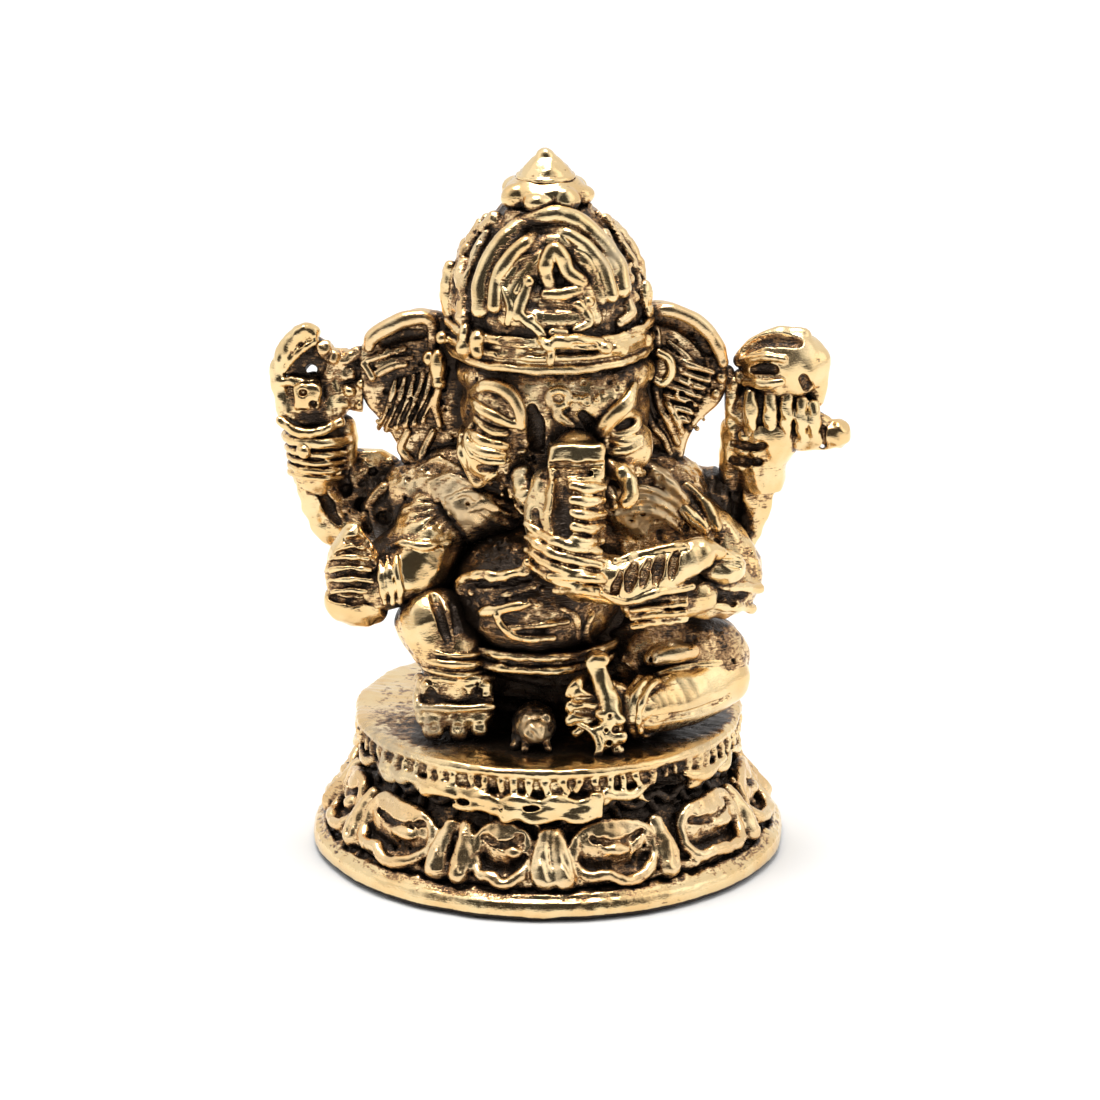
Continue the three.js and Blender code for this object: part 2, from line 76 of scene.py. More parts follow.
# ---------------------------------------------------------------- wax
class Wax:
    """One lump of wax on its own lattice of points."""

    def __init__(self, low, high, step=FINE, margin=0.6):
        self.step = step
        self.low = np.floor((np.array(low, float) - margin) / step) * step
        count = np.ceil((np.array(high, float) + margin - self.low) / step).astype(int) + 1
        self.axes = [self.low[i] + step * np.arange(count[i]) for i in range(3)]
        self.d = np.full(count, FAR, np.float32)

    def block(self, low, high):
        """The lattice points within a box: their slices, and X, Y, Z ready to broadcast."""
        cut = []
        for i in range(3):
            first = int(np.clip((low[i] - self.low[i]) // self.step, 0, len(self.axes[i]) - 1))
            last = int(np.clip((high[i] - self.low[i]) // self.step + 2, first + 1, len(self.axes[i])))
            cut.append(slice(first, last))
        x = self.axes[0][cut[0]].astype(np.float32)[:, None, None]
        y = self.axes[1][cut[1]].astype(np.float32)[None, :, None]
        z = self.axes[2][cut[2]].astype(np.float32)[None, None, :]
        return tuple(cut), x, y, z

    def shape(self, low, high, field, k=0.12, how="add"):
        """Melts a field in, or cuts it out, over a box. k is the size of the fillet."""
        reach = 0.9 if how == "add" else max(0.3, 2 * k)
        cut, x, y, z = self.block(np.array(low) - reach, np.array(high) + reach)
        new = field(x, y, z)
        old = self.d[cut]
        if how == "add":
            self.d[cut] = soft_min(old, new, k)
        else:
            self.d[cut] = -soft_min(-old, new, k)
        return self

    # lumps
    def ball(self, centre, radii, turn=(0, 0, 0), k=0.12, how="add"):
        centre = np.array(centre, float)
        radii = np.array(radii, float)
        axes = turned_axes(turn)

        def field(x, y, z):
            dx, dy, dz = x - centre[0], y - centre[1], z - centre[2]
            near = 0
            far = 0
            for i in range(3):
                along = dx * axes[i][0] + dy * axes[i][1] + dz * axes[i][2]
                near = near + (along / radii[i]) ** 2
                far = far + (along / radii[i] ** 2) ** 2
            near = np.sqrt(near)
            return near * (near - 1) / np.maximum(np.sqrt(far), 1e-6)

        reach = max(radii) if any(turn) else radii
        return self.shape(centre - reach, centre + reach, field, k, how)

    def block_of(self, centre, halves, round_by=0.15, turn=(0, 0, 0), k=0.08, how="add"):
        """A rounded box."""
        centre = np.array(centre, float)
        halves = np.array(halves, float)
        axes = turned_axes(turn)

        def field(x, y, z):
            dx, dy, dz = x - centre[0], y - centre[1], z - centre[2]
            outside = 0
            inside = -9.0
            for i in range(3):
                over = np.abs(dx * axes[i][0] + dy * axes[i][1] + dz * axes[i][2]) - (halves[i] - round_by)
                outside = outside + np.maximum(over, 0) ** 2
                inside = np.maximum(inside, over)
            return np.sqrt(outside) + np.minimum(inside, 0) - round_by

        reach = np.linalg.norm(halves) if any(turn) else halves
        return self.shape(centre - reach, centre + reach, field, k, how)

    def rod(self, points, k=0.1, how="add", smooth=True):
        """A limb or a line through points of (x, y, z, radius)."""
        points = np.array(points, float)
        if smooth and len(points) > 2:
            points = curved(points)

        def field(x, y, z):
            best = None
            for a, b in zip(points[:-1], points[1:]):
                way = b[:3] - a[:3]
                length2 = max(way[0] ** 2 + way[1] ** 2 + way[2] ** 2, 1e-9)
                dx, dy, dz = x - a[0], y - a[1], z - a[2]
                share = np.clip((dx * way[0] + dy * way[1] + dz * way[2]) / length2, 0, 1)
                dx, dy, dz = dx - share * way[0], dy - share * way[1], dz - share * way[2]
                gap = np.sqrt(dx**2 + dy**2 + dz**2)
                gap = gap - (a[3] + share * (b[3] - a[3]))
                best = gap if best is None else np.minimum(best, gap)
            return best

        reach = points[:, 3].max()
        return self.shape(points[:, :3].min(0) - reach, points[:, :3].max(0) + reach, field, k, how)

    def bangle(self, centre, way, radius, thickness, k=0.05, how="add"):
        """A ring round the direction way."""
        centre = np.array(centre, float)
        way = np.array(way, float) / np.linalg.norm(way)

        def field(x, y, z):
            dx, dy, dz = x - centre[0], y - centre[1], z - centre[2]
            along = dx * way[0] + dy * way[1] + dz * way[2]
            out = np.sqrt(np.maximum(dx**2 + dy**2 + dz**2 - along**2, 0)) - radius
            return np.sqrt(out**2 + along**2) - thickness

        reach = radius + thickness
        return self.shape(centre - reach, centre + reach, field, k, how)

    def turned(self, profile, centre=(0, 0), k=0.1, how="add"):
        """A round about the vertical through centre. profile is its closed outline of (radius, z)."""
        profile = np.array(profile, float)

        def field(x, y, z):
            radius = np.sqrt((x - centre[0]) ** 2 + (y - centre[1]) ** 2)[:, :, 0]
            rows = np.linspace(0, profile[:, 0].max() + 1.5, 600)
            heights = z[0, 0, :]
            table = outline_distance(profile, rows[:, None], heights[None, :])
            place = radius / (rows[1] - rows[0])
            first = np.clip(place.astype(int), 0, len(rows) - 2)
            share = np.clip(place - first, 0, 1)[..., None]
            return (table[first] * (1 - share) + table[first + 1] * share).astype(np.float32)

        widest = profile[:, 0].max()
        low = (centre[0] - widest, centre[1] - widest, profile[:, 1].min())
        high = (centre[0] + widest, centre[1] + widest, profile[:, 1].max())
        return self.shape(low, high, field, k, how)

    def fin(self, outline, depth, half, k=0.1, how="add", round_by=0.15):
        """An upright plate with a smooth outline in X and Z."""
        outline = curved(np.array(outline + outline[:1], float), closed=True)[:-1]

        def field(x, y, z):
            flat_distance = outline_distance(outline, x[:, 0, :], z[0, :, :])[:, None, :]
            through = np.abs(y - depth) - half + round_by
            edge = flat_distance + round_by
            outside = np.sqrt(np.maximum(edge, 0) ** 2 + np.maximum(through, 0) ** 2)
            return outside + np.minimum(np.maximum(edge, through), 0) - round_by

        low = (outline[:, 0].min(), depth - half, outline[:, 1].min())
        high = (outline[:, 0].max(), depth + half, outline[:, 1].max())
        return self.shape(low, high, field, k, how)

    # lines on the surface
    def onto(self, x, z, plane):
        """Where the line from EYE through (x, plane, z) first meets the wax."""
        start = np.array([x, plane, z])
        way = (start - EYE) / (plane - EYE[1])
        depths = np.arange(self.axes[1][0], self.axes[1][-1], self.step / 2)
        spots = start + np.outer(depths - plane, way)
        place = (spots - self.low) / self.step
        inside = np.all((place >= 0) & (place < np.array(self.d.shape) - 1), axis=1)
        if not inside.any():
            return None
        whole = place[inside].astype(int)
        values = self.d[whole[:, 0], whole[:, 1], whole[:, 2]]
        hits = np.nonzero(values < 0)[0]
        if len(hits):
            return spots[inside][hits[0]]
        return spots[inside][np.argmin(values)] if values.min() < 0.25 else None

    def line(self, points, plane, lift=0.0, k=0.05, how="add", on=None):
        """A raised or cut line through (x, z, radius) points, laid on the surface or on another piece's."""
        points = curved(np.array(points, float)) if len(points) > 2 else np.array(points, float)
        laid = []
        for x, z, radius in points:
            spot = (on or self).onto(x, z, plane)
            if spot is not None:
                laid.append((spot[0], spot[1] - lift - (0.06 if how == "add" else 0.0), spot[2],
                    1.25 * radius))
        if len(laid) < 2:
            return self
        laid = np.array(laid)
        for _ in range(2):
            laid[1:-1, 1:3] = 0.5 * laid[1:-1, 1:3] + 0.25 * (laid[2:, 1:3] + laid[:-2, 1:3])
        return self.rod(laid, k, how, smooth=False)

    def groove(self, points, plane, k=0.05):
        return self.line(points, plane, k=k, how="cut")

    def dots(self, points, plane, lift=0.0, k=0.05, how="add", on=None):
        """Small rounds, or holes, of (x, z, radius) on the surface."""
        for x, z, radius in points:
            spot = (on or self).onto(x, z, plane)
            if spot is not None:
                self.ball(spot - [0, lift, 0], (radius, radius, radius), k=k, how=how)
        return self

    def crumbs(self, low, high, plane, count, size, seed, on=None):
        """Grains of casting grit, half of them pits, over a box of x and z on the surface."""
        rng = np.random.default_rng(seed)
        for x, z, scale in zip(rng.uniform(low[0], high[0], count), rng.uniform(low[1], high[1], count),
                rng.uniform(0.6, 1.3, count)):
            self.dots([(x, z, size * scale)], plane, k=0.04, how="add" if rng.random() < 0.55 else "cut",
                on=on)
        return self

    def rough(self, size, amount, seed=0):
        """Uneven casting skin: a sum of waves of about that size."""
        rng = np.random.default_rng(seed)
        x, y, z = (a.astype(np.float32) for a in self.axes)
        total = 0
        for _ in range(7):
            way = rng.normal(size=3)
            way *= 2 * math.pi / (size * rng.uniform(0.7, 1.5)) / np.linalg.norm(way)
            phase = rng.uniform(0, 2 * math.pi)
            angle = (x * way[0])[:, None, None] + (y * way[1])[None, :, None] + (z * way[2])[None, None, :]
            total = total + np.sin(angle + phase)
        self.d += (amount / 2.6) * total.astype(np.float32)
        return self


def soft_min(a, b, k):
    if k <= 0:
        return np.minimum(a, b)
    blend = np.maximum(k - np.abs(a - b), 0) / k
    return np.minimum(a, b) - blend * blend * (k / 4)


def turned_axes(turn):
    """The directions of a lump's own axes after turns about X, Y and Z in degrees."""
    a, b, c = (math.radians(t) for t in turn)
    about_x = np.array([[1, 0, 0], [0, math.cos(a), -math.sin(a)], [0, math.sin(a), math.cos(a)]])
    about_y = np.array([[math.cos(b), 0, math.sin(b)], [0, 1, 0], [-math.sin(b), 0, math.cos(b)]])
    about_z = np.array([[math.cos(c), -math.sin(c), 0], [math.sin(c), math.cos(c), 0], [0, 0, 1]])
    return (about_z @ about_y @ about_x).T


def curved(points, closed=False, parts=5):
    """A smooth curve through the points."""
    if closed:
        padded = np.vstack([points[-2], points, points[1]])
    else:
        padded = np.vstack([2 * points[0] - points[1], points, 2 * points[-1] - points[-2]])
    made = []
    for i in range(1, len(padded) - 2):
        p0, p1, p2, p3 = padded[i - 1 : i + 3]
        for t in np.arange(parts) / parts:
            square = (2 * p0 - 5 * p1 + 4 * p2 - p3) * t**2
            cube = (3 * p1 - p0 - 3 * p2 + p3) * t**3
            made.append(0.5 * (2 * p1 + (p2 - p0) * t + square + cube))
    made.append(padded[-2])
    return np.array(made)


def outline_distance(outline, x, y):
    """Signed distance to a closed outline, negative inside."""
    x, y = np.broadcast_arrays(x.astype(np.float32), y.astype(np.float32))
    best = np.full(x.shape, 1e9, np.float32)
    inside = np.zeros(x.shape, bool)
    count = len(outline)
    for i in range(count):
        ax, ay = outline[i]
        bx, by = outline[(i + 1) % count]
        wx, wy = bx - ax, by - ay
        share = np.clip(((x - ax) * wx + (y - ay) * wy) / max(wx * wx + wy * wy, 1e-12), 0, 1)
        best = np.minimum(best, (x - ax - share * wx) ** 2 + (y - ay - share * wy) ** 2)
        if ay != by:
            crosses = ((ay > y) != (by > y)) & (x < ax + (y - ay) * wx / (by - ay))
            inside ^= crosses
    return np.where(inside, -1, 1) * np.sqrt(best)


# ---------------------------------------------------------------- the list of pieces
PIECES = {}


def piece(name, slot, step=FINE, margin=0.7, dark=0.0):
    """Registers a maker. It gets a lattice over its CAD node's box, and dark adds to its patina."""

    def keep(make):
        PIECES[name] = (make, slot, step, margin, dark)
        return make

    return keep


def round_at(degrees, radius, z):
    """A point of the pedestal, by its angle from the front towards +X."""
    angle = math.radians(degrees)
    return np.array([radius * math.sin(angle), -radius * math.cos(angle), z])


# ---- pedestal
@piece("base_plate", "polished_brass", COARSE, 0.4, dark=0.14)
def base_plate(wax):
    wax.turned([(0, 0), (10.2, 0), (10.45, 0.18), (10.5, 0.5), (10.4, 0.85), (10.1, 0.98), (9.9, 0.9),
        (9.7, 0.95), (9.4, 1.15), (0, 1.15)])
    ring = [(*round_at(a, 9.98 + 0.06 * math.sin(a / 11), 1.0 + 0.05 * math.sin(a / 7)),
        0.14) for a in range(0, 361, 8)]
    wax.rod(ring, k=0.08, smooth=False)
    rng = np.random.default_rng(60)
    for a in rng.uniform(0, 360, 420):
        size = rng.uniform(0.1, 0.24)
        wax.ball(round_at(a, rng.uniform(9.3, 9.9), 1.02), (size, size, size), k=0.05)
    wax.rough(2.6, 0.03, 1)
    wax.rough(0.7, 0.012, 2)
    wax.d = np.maximum(wax.d, -wax.axes[2].astype(np.float32)[None, None, :])


# angle and half width in degrees
BROAD = [(-76, 9), (-47, 14), (-12.5, 7.5), (18.5, 12), (52, 12.5), (83, 10), (113, 12), (143, 12),
    (173, 12), (203, 12), (232, 12), (259, 10)]


@piece("lotus_bell", "antiqued_brass", BELL_STEP, 0.9, dark=-0.05)
def lotus_bell(wax):
    wax.turned([(0, 1.12), (9.45, 1.12), (9.5, 1.45), (9.15, 1.7), (8.75, 2.4), (8.2, 3.2), (7.7, 3.85),
        (0, 3.85)])
    foot = [(*round_at(a, 9.5 + 0.08 * math.sin(a * 0.31), 1.42 + 0.07 * math.sin(a * 0.23)),
        0.2) for a in range(0, 361, 6)]
    wax.rod(foot, k=0.08, smooth=False)
    rng = np.random.default_rng(61)
    for index, (middle, half) in enumerate(BROAD):
        wide = math.radians(half) * 8.9
        at = lambda u, z, out=0.0: round_at(middle + math.degrees(u * wide / 8.9), 10.05 - 0.42 * z + out, z)
        sag = rng.uniform(-0.12, 0.12, 6)
        wax.ball(at(0, 2.6, -0.45), (wide * 0.95, 0.7, 1.15), (0, 0, middle), k=0.1)
        side = [(-0.95, 2.2, 0), (-0.92, 3.0, 0), (-0.55, 3.5 + sag[0], 0.02), (0, 3.6, 0.05),
            (0.6, 3.5 + sag[1], 0.02), (0.92, 3.0, 0), (0.95, 2.2, 0)]
        wax.rod([(*at(u, z, out), 0.26) for u, z, out in side], k=0.08)
        hollow = [(-0.75, 2.35, 0.2), (-0.3, 2.1 + sag[2], 0.35), (0.3, 2.15 + sag[3], 0.35),
            (0.75, 2.4, 0.2)]
        wax.rod([(*at(u, z, out), 0.24) for u, z, out in hollow], k=0.06, how="cut")
        wax.rod([(*at(-0.6 + sag[4], 3.1, 0.15), 0.16), (*at(0.1, 2.9, 0.32), 0.2),
            (*at(0.7, 3.2, 0.1), 0.14)], k=0.05, how="cut")
        wax.ball(at(0.25 + 2 * sag[5], 2.62, 0.12), (wide * 0.34, 0.36, 0.3), (0, 0, middle), k=0.1)
        lip = [(-0.98, 2.2, 0.0), (-0.7, 1.7, 0.28), (-0.25, 1.72 + sag[0], 0.42),
            (0.15, 1.55 + sag[1], 0.45), (0.6, 1.68, 0.35), (0.98, 2.2, 0)]
        wax.rod([(*at(u, z, out), 0.27) for u, z, out in lip], k=0.06)
        following = BROAD[(index + 1) % len(BROAD)]
        gap_start = middle + half + 3.0
        gap_end = following[0] + (360 if following[0] < middle else 0) - following[1] - 3.0
        bars = max(1, round((gap_end - gap_start) / 7.5) + 1)
        for a in np.linspace(gap_start, gap_end, bars):
            lean = rng.uniform(-1.0, 1.0)
            top = a + lean if bars == 1 else a - 1.2 * math.copysign(1, a - 0.5 * (gap_start + gap_end))
            wax.rod([(*round_at(a + lean, 9.55, 1.65), 0.55), (*round_at(a, 9.15, 2.3), 0.5),
                (*round_at(top, 8.5, 3.3), 0.36)], k=0.06)
            wax.rod([(*round_at(a + lean + 1.4, 10.0, 1.9), 0.12), (*round_at(a + 0.8, 9.55, 2.7), 0.13)],
                k=0.04, how="cut")
            wax.rod([(*round_at(a - 1.6, 9.85, 2.2), 0.1), (*round_at(top - 0.8, 9.1, 3.3), 0.12)],
                k=0.04, how="cut")
    for a, z, size in zip(rng.uniform(0, 360, 420), rng.uniform(1.4, 3.8, 420),
            rng.uniform(0.08, 0.17, 420)):
        wax.ball(round_at(a, 10.0 - 0.42 * z - rng.uniform(0.0, 0.5), z), (size, size, size), k=0.05,
            how="add" if rng.random() < 0.5 else "cut")
    wax.rough(1.1, 0.03, 3)
    wax.rough(0.45, 0.02, 4)


@piece("waist_moulding", "antiqued_brass", PEDESTAL_STEP, 0.7, dark=0.25)
def waist_moulding(wax):
    wax.turned([(0, 3.7), (7.3, 3.7), (7.55, 3.95), (7.4, 4.2), (7.6, 4.5), (0, 4.5)])
    for a in range(-180, 180, 13):
        wax.rod([(*round_at(a - 5, 7.95, 4.45), 0.2), (*round_at(a, 7.9, 3.98), 0.22),
            (*round_at(a + 5, 7.95, 4.4), 0.2)], k=0.06)
        wax.rod([(*round_at(a + 6, 7.6, 4.2), 0.22), (*round_at(a + 7, 8.0, 3.7), 0.2)], k=0.06)
    wax.rough(0.6, 0.03, 5)


@piece("seat_disc", "polished_brass", PEDESTAL_STEP, 0.6)
def seat_disc(wax):
    wax.turned([(0, 4.4), (7.9, 4.4), (8.2, 4.55), (8.3, 4.75), (8.15, 4.95), (8.35, 5.2), (8.45, 5.4),
        (8.3, 5.6), (8.5, 5.75), (8.62, 5.95), (8.5, 6.15), (8.2, 6.22), (0, 6.2)])
    rng = np.random.default_rng(6)
    for a in np.arange(-180, 180, 4.6):
        a = a + rng.uniform(-0.8, 0.8)
        lean = rng.uniform(-1.2, 1.2)
        wax.rod([(*round_at(a, 8.42, 5.55), 0.2), (*round_at(a + lean, 8.45, 5.2), 0.16)], k=0.04)
        wax.ball(round_at(a + 2.3, 8.6, 5.5), (0.2, 0.25, 0.24), k=0.04, how="cut")
    for a in range(-180, 180, 17):
        wax.rod([(*round_at(a, 8.35, 4.85), 0.18), (*round_at(a + 7, 8.45, 4.55), 0.26),
            (*round_at(a + 13, 8.35, 4.9), 0.16)], k=0.07)
    for first, last, z, out in ((-56, -18, 4.95, 8.5), (-38, 15, 4.75, 8.6), (-27, 15, 4.4, 8.65),
            (-12, 14, 4.1, 8.7)):
        swag = [(*round_at(a, out, z + 0.1 * math.sin(a * 0.55)),
            0.27 + 0.06 * math.sin(a)) for a in range(first, last, 4)]
        wax.rod(swag, k=0.08)
    wax.block_of(round_at(13.5, 8.3, 4.6), (0.3, 0.6, 0.6), round_by=0.12, turn=(0, 0, 13))
    for a, z in ((-30, 4.5), (-24, 4.55), (-12, 4.5), (-5, 4.55)):
        wax.ball(round_at(a, 8.65, z), (0.4, 0.3, 0.14), (0, 0, a), k=0.06, how="cut")
    wax.rod([(*round_at(17, 8.5, 5.0), 0.24), (*round_at(24, 8.5, 4.8), 0.28),
        (*round_at(30, 8.4, 5.0), 0.2)], k=0.06)
    wax.rod([(*round_at(44, 8.5, 5.1), 0.22), (*round_at(52, 8.6, 4.85), 0.28),
        (*round_at(64, 8.5, 5.0), 0.22)], k=0.06)
    wax.ball(round_at(37, 8.5, 4.7), (1.25, 1.3, 0.5), (0, 0, 37), k=0.1, how="cut")
    wax.rough(2.4, 0.035, 7)
    wax.rough(0.5, 0.012, 8)


# ---- the body's masses
@piece("lower_body", "antiqued_brass", MEDIUM, 0.7, dark=0.35)
def lower_body(wax):
    wax.ball((0.4, 0.9, 8.2), (6.0, 4.3, 3.2))
    wax.ball((0.4, 0.9, 10.0), (5.6, 3.9, 2.6), k=1.0)
    for side in (-1, 1):
        for lift in range(5):
            z = 7.0 + 0.75 * lift
            wax.line([(side * 0.3 + 0.4, z - 0.3, 0.14), (side * 2.2 + 0.4, z + 0.1, 0.16),
                (side * 4.4 + 0.4, z + 0.7, 0.12)], SHOULDERS, k=0.1)
    wax.rod([(-4.6, 4.0, 7.4, 0.5), (0.4, 5.3, 7.2, 0.55), (5.4, 4.0, 7.4, 0.5)], k=0.5)
    wax.rod([(-4.2, 3.8, 8.6, 0.45), (0.4, 5.2, 8.5, 0.45), (5.0, 3.8, 8.6, 0.45)], k=0.4)
    wax.rough(1.2, 0.05, 9)
    wax.d = np.maximum(wax.d, (6.1 - wax.axes[2]).astype(np.float32)[None, None, :])


@piece("torso", "antiqued_brass", MEDIUM, 0.8)
def torso(wax):
    wax.ball((0.2, 0.8, 14.0), (4.3, 3.0, 4.2))
    wax.rod([(-6.7, 0.9, 15.2, 1.45), (-4.7, 0.2, 16.1, 1.9), (0.2, 0.4, 16.9, 2.3),
        (5.0, 0.2, 16.0, 1.8), (6.6, 0.9, 14.6, 1.4)], k=0.8)
    wax.ball((-4.6, -0.2, 13.0), (2.2, 1.9, 3.0), k=0.6)
    wax.ball((4.8, -0.4, 13.2), (2.6, 1.8, 2.9), k=0.6)
    wax.ball((-3.2, -1.6, 16.0), (1.9, 1.2, 1.7), k=0.6)
    wax.ball((4.0, -1.6, 16.2), (1.8, 1.2, 1.6), k=0.6)
    for i in range(3):
        wax.line([(3.5 + 0.5 * i, 18.0 - 0.2 * i, 0.12), (4.7 + 0.4 * i, 17.2 - 0.2 * i, 0.15),
            (5.5 + 0.4 * i, 16.2 - 0.2 * i, 0.12)], CHEST, k=0.06)
    wax.rod([(-3.6, 2.4, 17.3, 0.35), (0.2, 4.0, 14.0, 0.35), (3.6, 3.0, 11.2, 0.35)], k=0.25)
    wax.rod([(-4.4, 1.4, 17.0, 0.45), (-2.2, 2.7, 17.3, 0.4), (0.2, 3.1, 17.1, 0.45),
        (2.6, 2.7, 17.3, 0.4), (4.9, 1.4, 17.1, 0.45)], k=0.25)
    for x, z in ((-6.1, 16.6), (-6.2, 16.1), (-6.1, 15.6), (-5.7, 15.2), (-5.1, 15.0)):
        wax.groove([(x, z, 0.08), (0.5 * (x - 3.6), 0.5 * (z + 16.0), 0.11), (-3.6, 16.0, 0.08)], SHOULDERS)
    for lift in (0.0, 0.5, 1.0):
        wax.line([(2.9, 16.9 - lift, 0.1), (4.2, 17.1 - lift, 0.13), (5.4, 16.5 - lift, 0.13),
            (6.3, 15.4 - lift, 0.1)], SHOULDERS)
        wax.line([(-3.2, 17.2 - lift, 0.1), (-2.2, 16.6 - lift, 0.13), (-1.4, 16.3 - lift, 0.1)], SHOULDERS)
    for x, z in ((-5.6, 18.0), (-5.0, 17.3), (-4.3, 16.6), (-3.6, 16.0)):
        wax.line([(x, z, 0.1), (x + 0.9, z + 0.35, 0.14), (x + 1.9, z - 0.1, 0.1)], SHOULDERS, lift=0.03)
    wax.crumbs((-6.5, 13.5), (-1.0, 18.0), SHOULDERS, 60, 0.08, 67)
    wax.crumbs((2.0, 13.5), (7.2, 18.0), SHOULDERS, 70, 0.09, 68)
    wax.rough(1.3, 0.05, 10)
    wax.rough(0.4, 0.02, 11)


@piece("belly", "polished_brass", FINE, 0.6, dark=0.12)
def belly(wax):
    wax.ball((-0.5, -2.2, 12.2), (3.7, 3.3, 2.9))
    wax.ball((-0.6, -4.2, 11.6), (2.3, 1.3, 1.5), k=0.6)
    wax.ball((-0.3, -5.75, 11.3), (0.32, 0.4, 0.3), k=0.15, how="cut")
    wax.line([(-3.0, 12.1, 0.12), (-2.6, 12.2, 0.2), (-1.6, 12.35, 0.2), (-0.8, 12.65, 0.16)], FRONT,
        lift=0.05)
    wax.line([(-2.7, 11.5, 0.1), (-1.2, 11.45, 0.12), (0.8, 11.7, 0.1)], FRONT, k=0.08)
    wax.line([(1.9, 12.1, 0.12), (1.6, 11.4, 0.14), (1.7, 10.8, 0.14), (2.2, 10.6, 0.14)], FRONT, lift=0.05)
    wax.line([(0.6, 12.3, 0.1), (1.2, 11.9, 0.14), (1.3, 11.0, 0.12)], FRONT)
    wax.crumbs((-3.5, 12.4), (0.2, 15.4), FRONT, 60, 0.11, 77)
    wax.line([(-2.2, 12.0, 0.12), (-1.9, 11.4, 0.15), (-1.2, 11.0, 0.15), (0.2, 11.0, 0.13)], FRONT,
        lift=0.05)
    wax.rough(0.9, 0.03, 12)


@piece("belt", "polished_brass", FINE, 0.7)
def belt(wax):
    for z, thick, radius in ((10.15, 0.2, 3.62), (9.55, 0.2, 3.6)):
        wax.bangle((-0.4, -1.7, z), (0, 0, 1), radius, thick)
    wax.turned([(0, 9.5), (3.45, 9.5), (3.5, 9.8), (3.45, 10.15), (0, 10.15)], centre=(-0.4, -1.7))
    wax.line([(-2.3, 9.15, 0.12), (-1.2, 8.95, 0.14), (0.6, 9.1, 0.12)], BELT, lift=0.05)
    wax.rough(0.8, 0.03, 13)


@piece("chest_band", "polished_brass", FINE, 0.9, dark=0.2)
def chest_band(wax):
    ring = [(-1.0, -5.2, 14.0), (-2.0, -5.05, 13.75), (-3.0, -4.6, 13.65), (-3.75, -3.9, 13.1),
        (-3.6, -4.0, 12.4), (-3.0, -4.5, 12.1)]
    wax.rod([(x, y, z, 0.24) for x, y, z in ring], k=0.06)
    wax.rod([(-1.0, -5.2, 14.0, 0.28), (-0.9, -5.2, 14.3, 0.22)], k=0.1)
    wax.rod([(-3.3, -3.9, 12.8, 0.5), (-2.0, -4.5, 13.1, 0.55), (-0.6, -4.9, 13.4, 0.5)], k=0.1)
    for x, z in ((-3.3, 12.85), (-2.9, 12.35), (-2.6, 13.1)):
        wax.ball((x, -4.45, z), (0.2, 0.25, 0.2), k=0.06)
    wax.line([(-2.7, 12.75, 0.1), (-1.8, 12.95, 0.12), (-0.6, 13.25, 0.1)], FRONT, lift=0.04)
    wax.groove([(-3.0, 13.3, 0.1), (-1.8, 13.45, 0.12), (-0.8, 13.6, 0.1)], FRONT)
    wax.rough(0.6, 0.03, 14)


# ---- legs
@piece("right_thigh", "antiqued_brass", MEDIUM, dark=0.3)
def right_thigh(wax):
    wax.rod([(-2.6, 0.1, 8.8, 1.9), (-4.0, -1.2, 9.8, 1.75), (-5.2, -2.6, 10.8, 1.4)], k=0.3)
    for z in (8.2, 9.1, 10.0):
        wax.line([(-5.6, z + 0.6, 0.12), (-5.0, z + 0.3, 0.15), (-4.4, z, 0.12)], NEAR)
    wax.crumbs((-5.6, 7.5), (-2.0, 12.0), NEAR, 50, 0.12, 72)
    wax.rough(0.9, 0.04, 15)


@piece("right_shin", "polished_brass", FINE, dark=0.1)
def right_shin(wax):
    wax.rod([(-5.0, -3.4, 11.1, 1.6), (-4.6, -3.7, 10.3, 1.4), (-4.1, -3.8, 9.3, 1.25)], k=0.3)
    wax.groove([(-4.9, 12.9, 0.14), (-4.6, 11.9, 0.2), (-4.3, 10.9, 0.16)], FRONT)
    wax.groove([(-4.1, 12.4, 0.14), (-3.9, 11.4, 0.2), (-3.8, 10.7, 0.14)], FRONT)
    wax.rough(0.9, 0.03, 16)


@piece("right_anklet", "polished_brass", FINE)
def right_anklet(wax):
    wax.rod([(-4.2, -3.75, 10.1, 1.35), (-4.05, -3.85, 8.7, 1.4)], k=0.1)
    for z, radius, thick in ((10.15, 1.38, 0.12), (9.75, 1.42, 0.2), (9.3, 1.4, 0.14)):
        wax.bangle((-4.1, -3.8, z), (0.08, 0.05, 1), radius, thick)
    wax.rough(0.8, 0.03, 17)


@piece("right_foot", "polished_brass", FINE)
def right_foot(wax):
    wax.block_of((-3.95, -3.9, 7.9), (1.6, 1.3, 1.2), round_by=0.5)
    wax.ball((-4.9, -4.3, 7.6), (0.9, 1.0, 1.2), k=0.3)
    for x, z, size in ((-4.95, 7.0, 0.5), (-3.9, 6.95, 0.46), (-2.95, 7.05, 0.42)):
        wax.rod([(x, -4.8, z + 0.75, size * 0.85), (x, -5.0, z - 0.2, size)], k=0.06)
        wax.ball((x, -5.45, z + 0.1), (size * 0.5, 0.16, 0.24), k=0.03, how="cut")
    for x in (-5.1, -4.45, -3.75, -3.1):
        wax.groove([(x, 9.1, 0.13), (x + 0.05, 8.3, 0.17)], FRONT)
    wax.line([(-5.6, 9.2, 0.14), (-3.9, 9.05, 0.17), (-2.4, 9.2, 0.14)], FRONT, lift=0.05)
    wax.groove([(-5.6, 8.2, 0.14), (-3.9, 8.1, 0.18), (-2.4, 8.15, 0.14)], FRONT)
    wax.line([(-5.6, 7.85, 0.15), (-3.9, 7.75, 0.18), (-2.4, 7.85, 0.15)], FRONT, lift=0.05)
    wax.line([(-5.5, 9.0, 0.14), (-5.65, 8.2, 0.17), (-5.5, 7.2, 0.14)], FRONT)
    wax.rough(0.7, 0.03, 18)


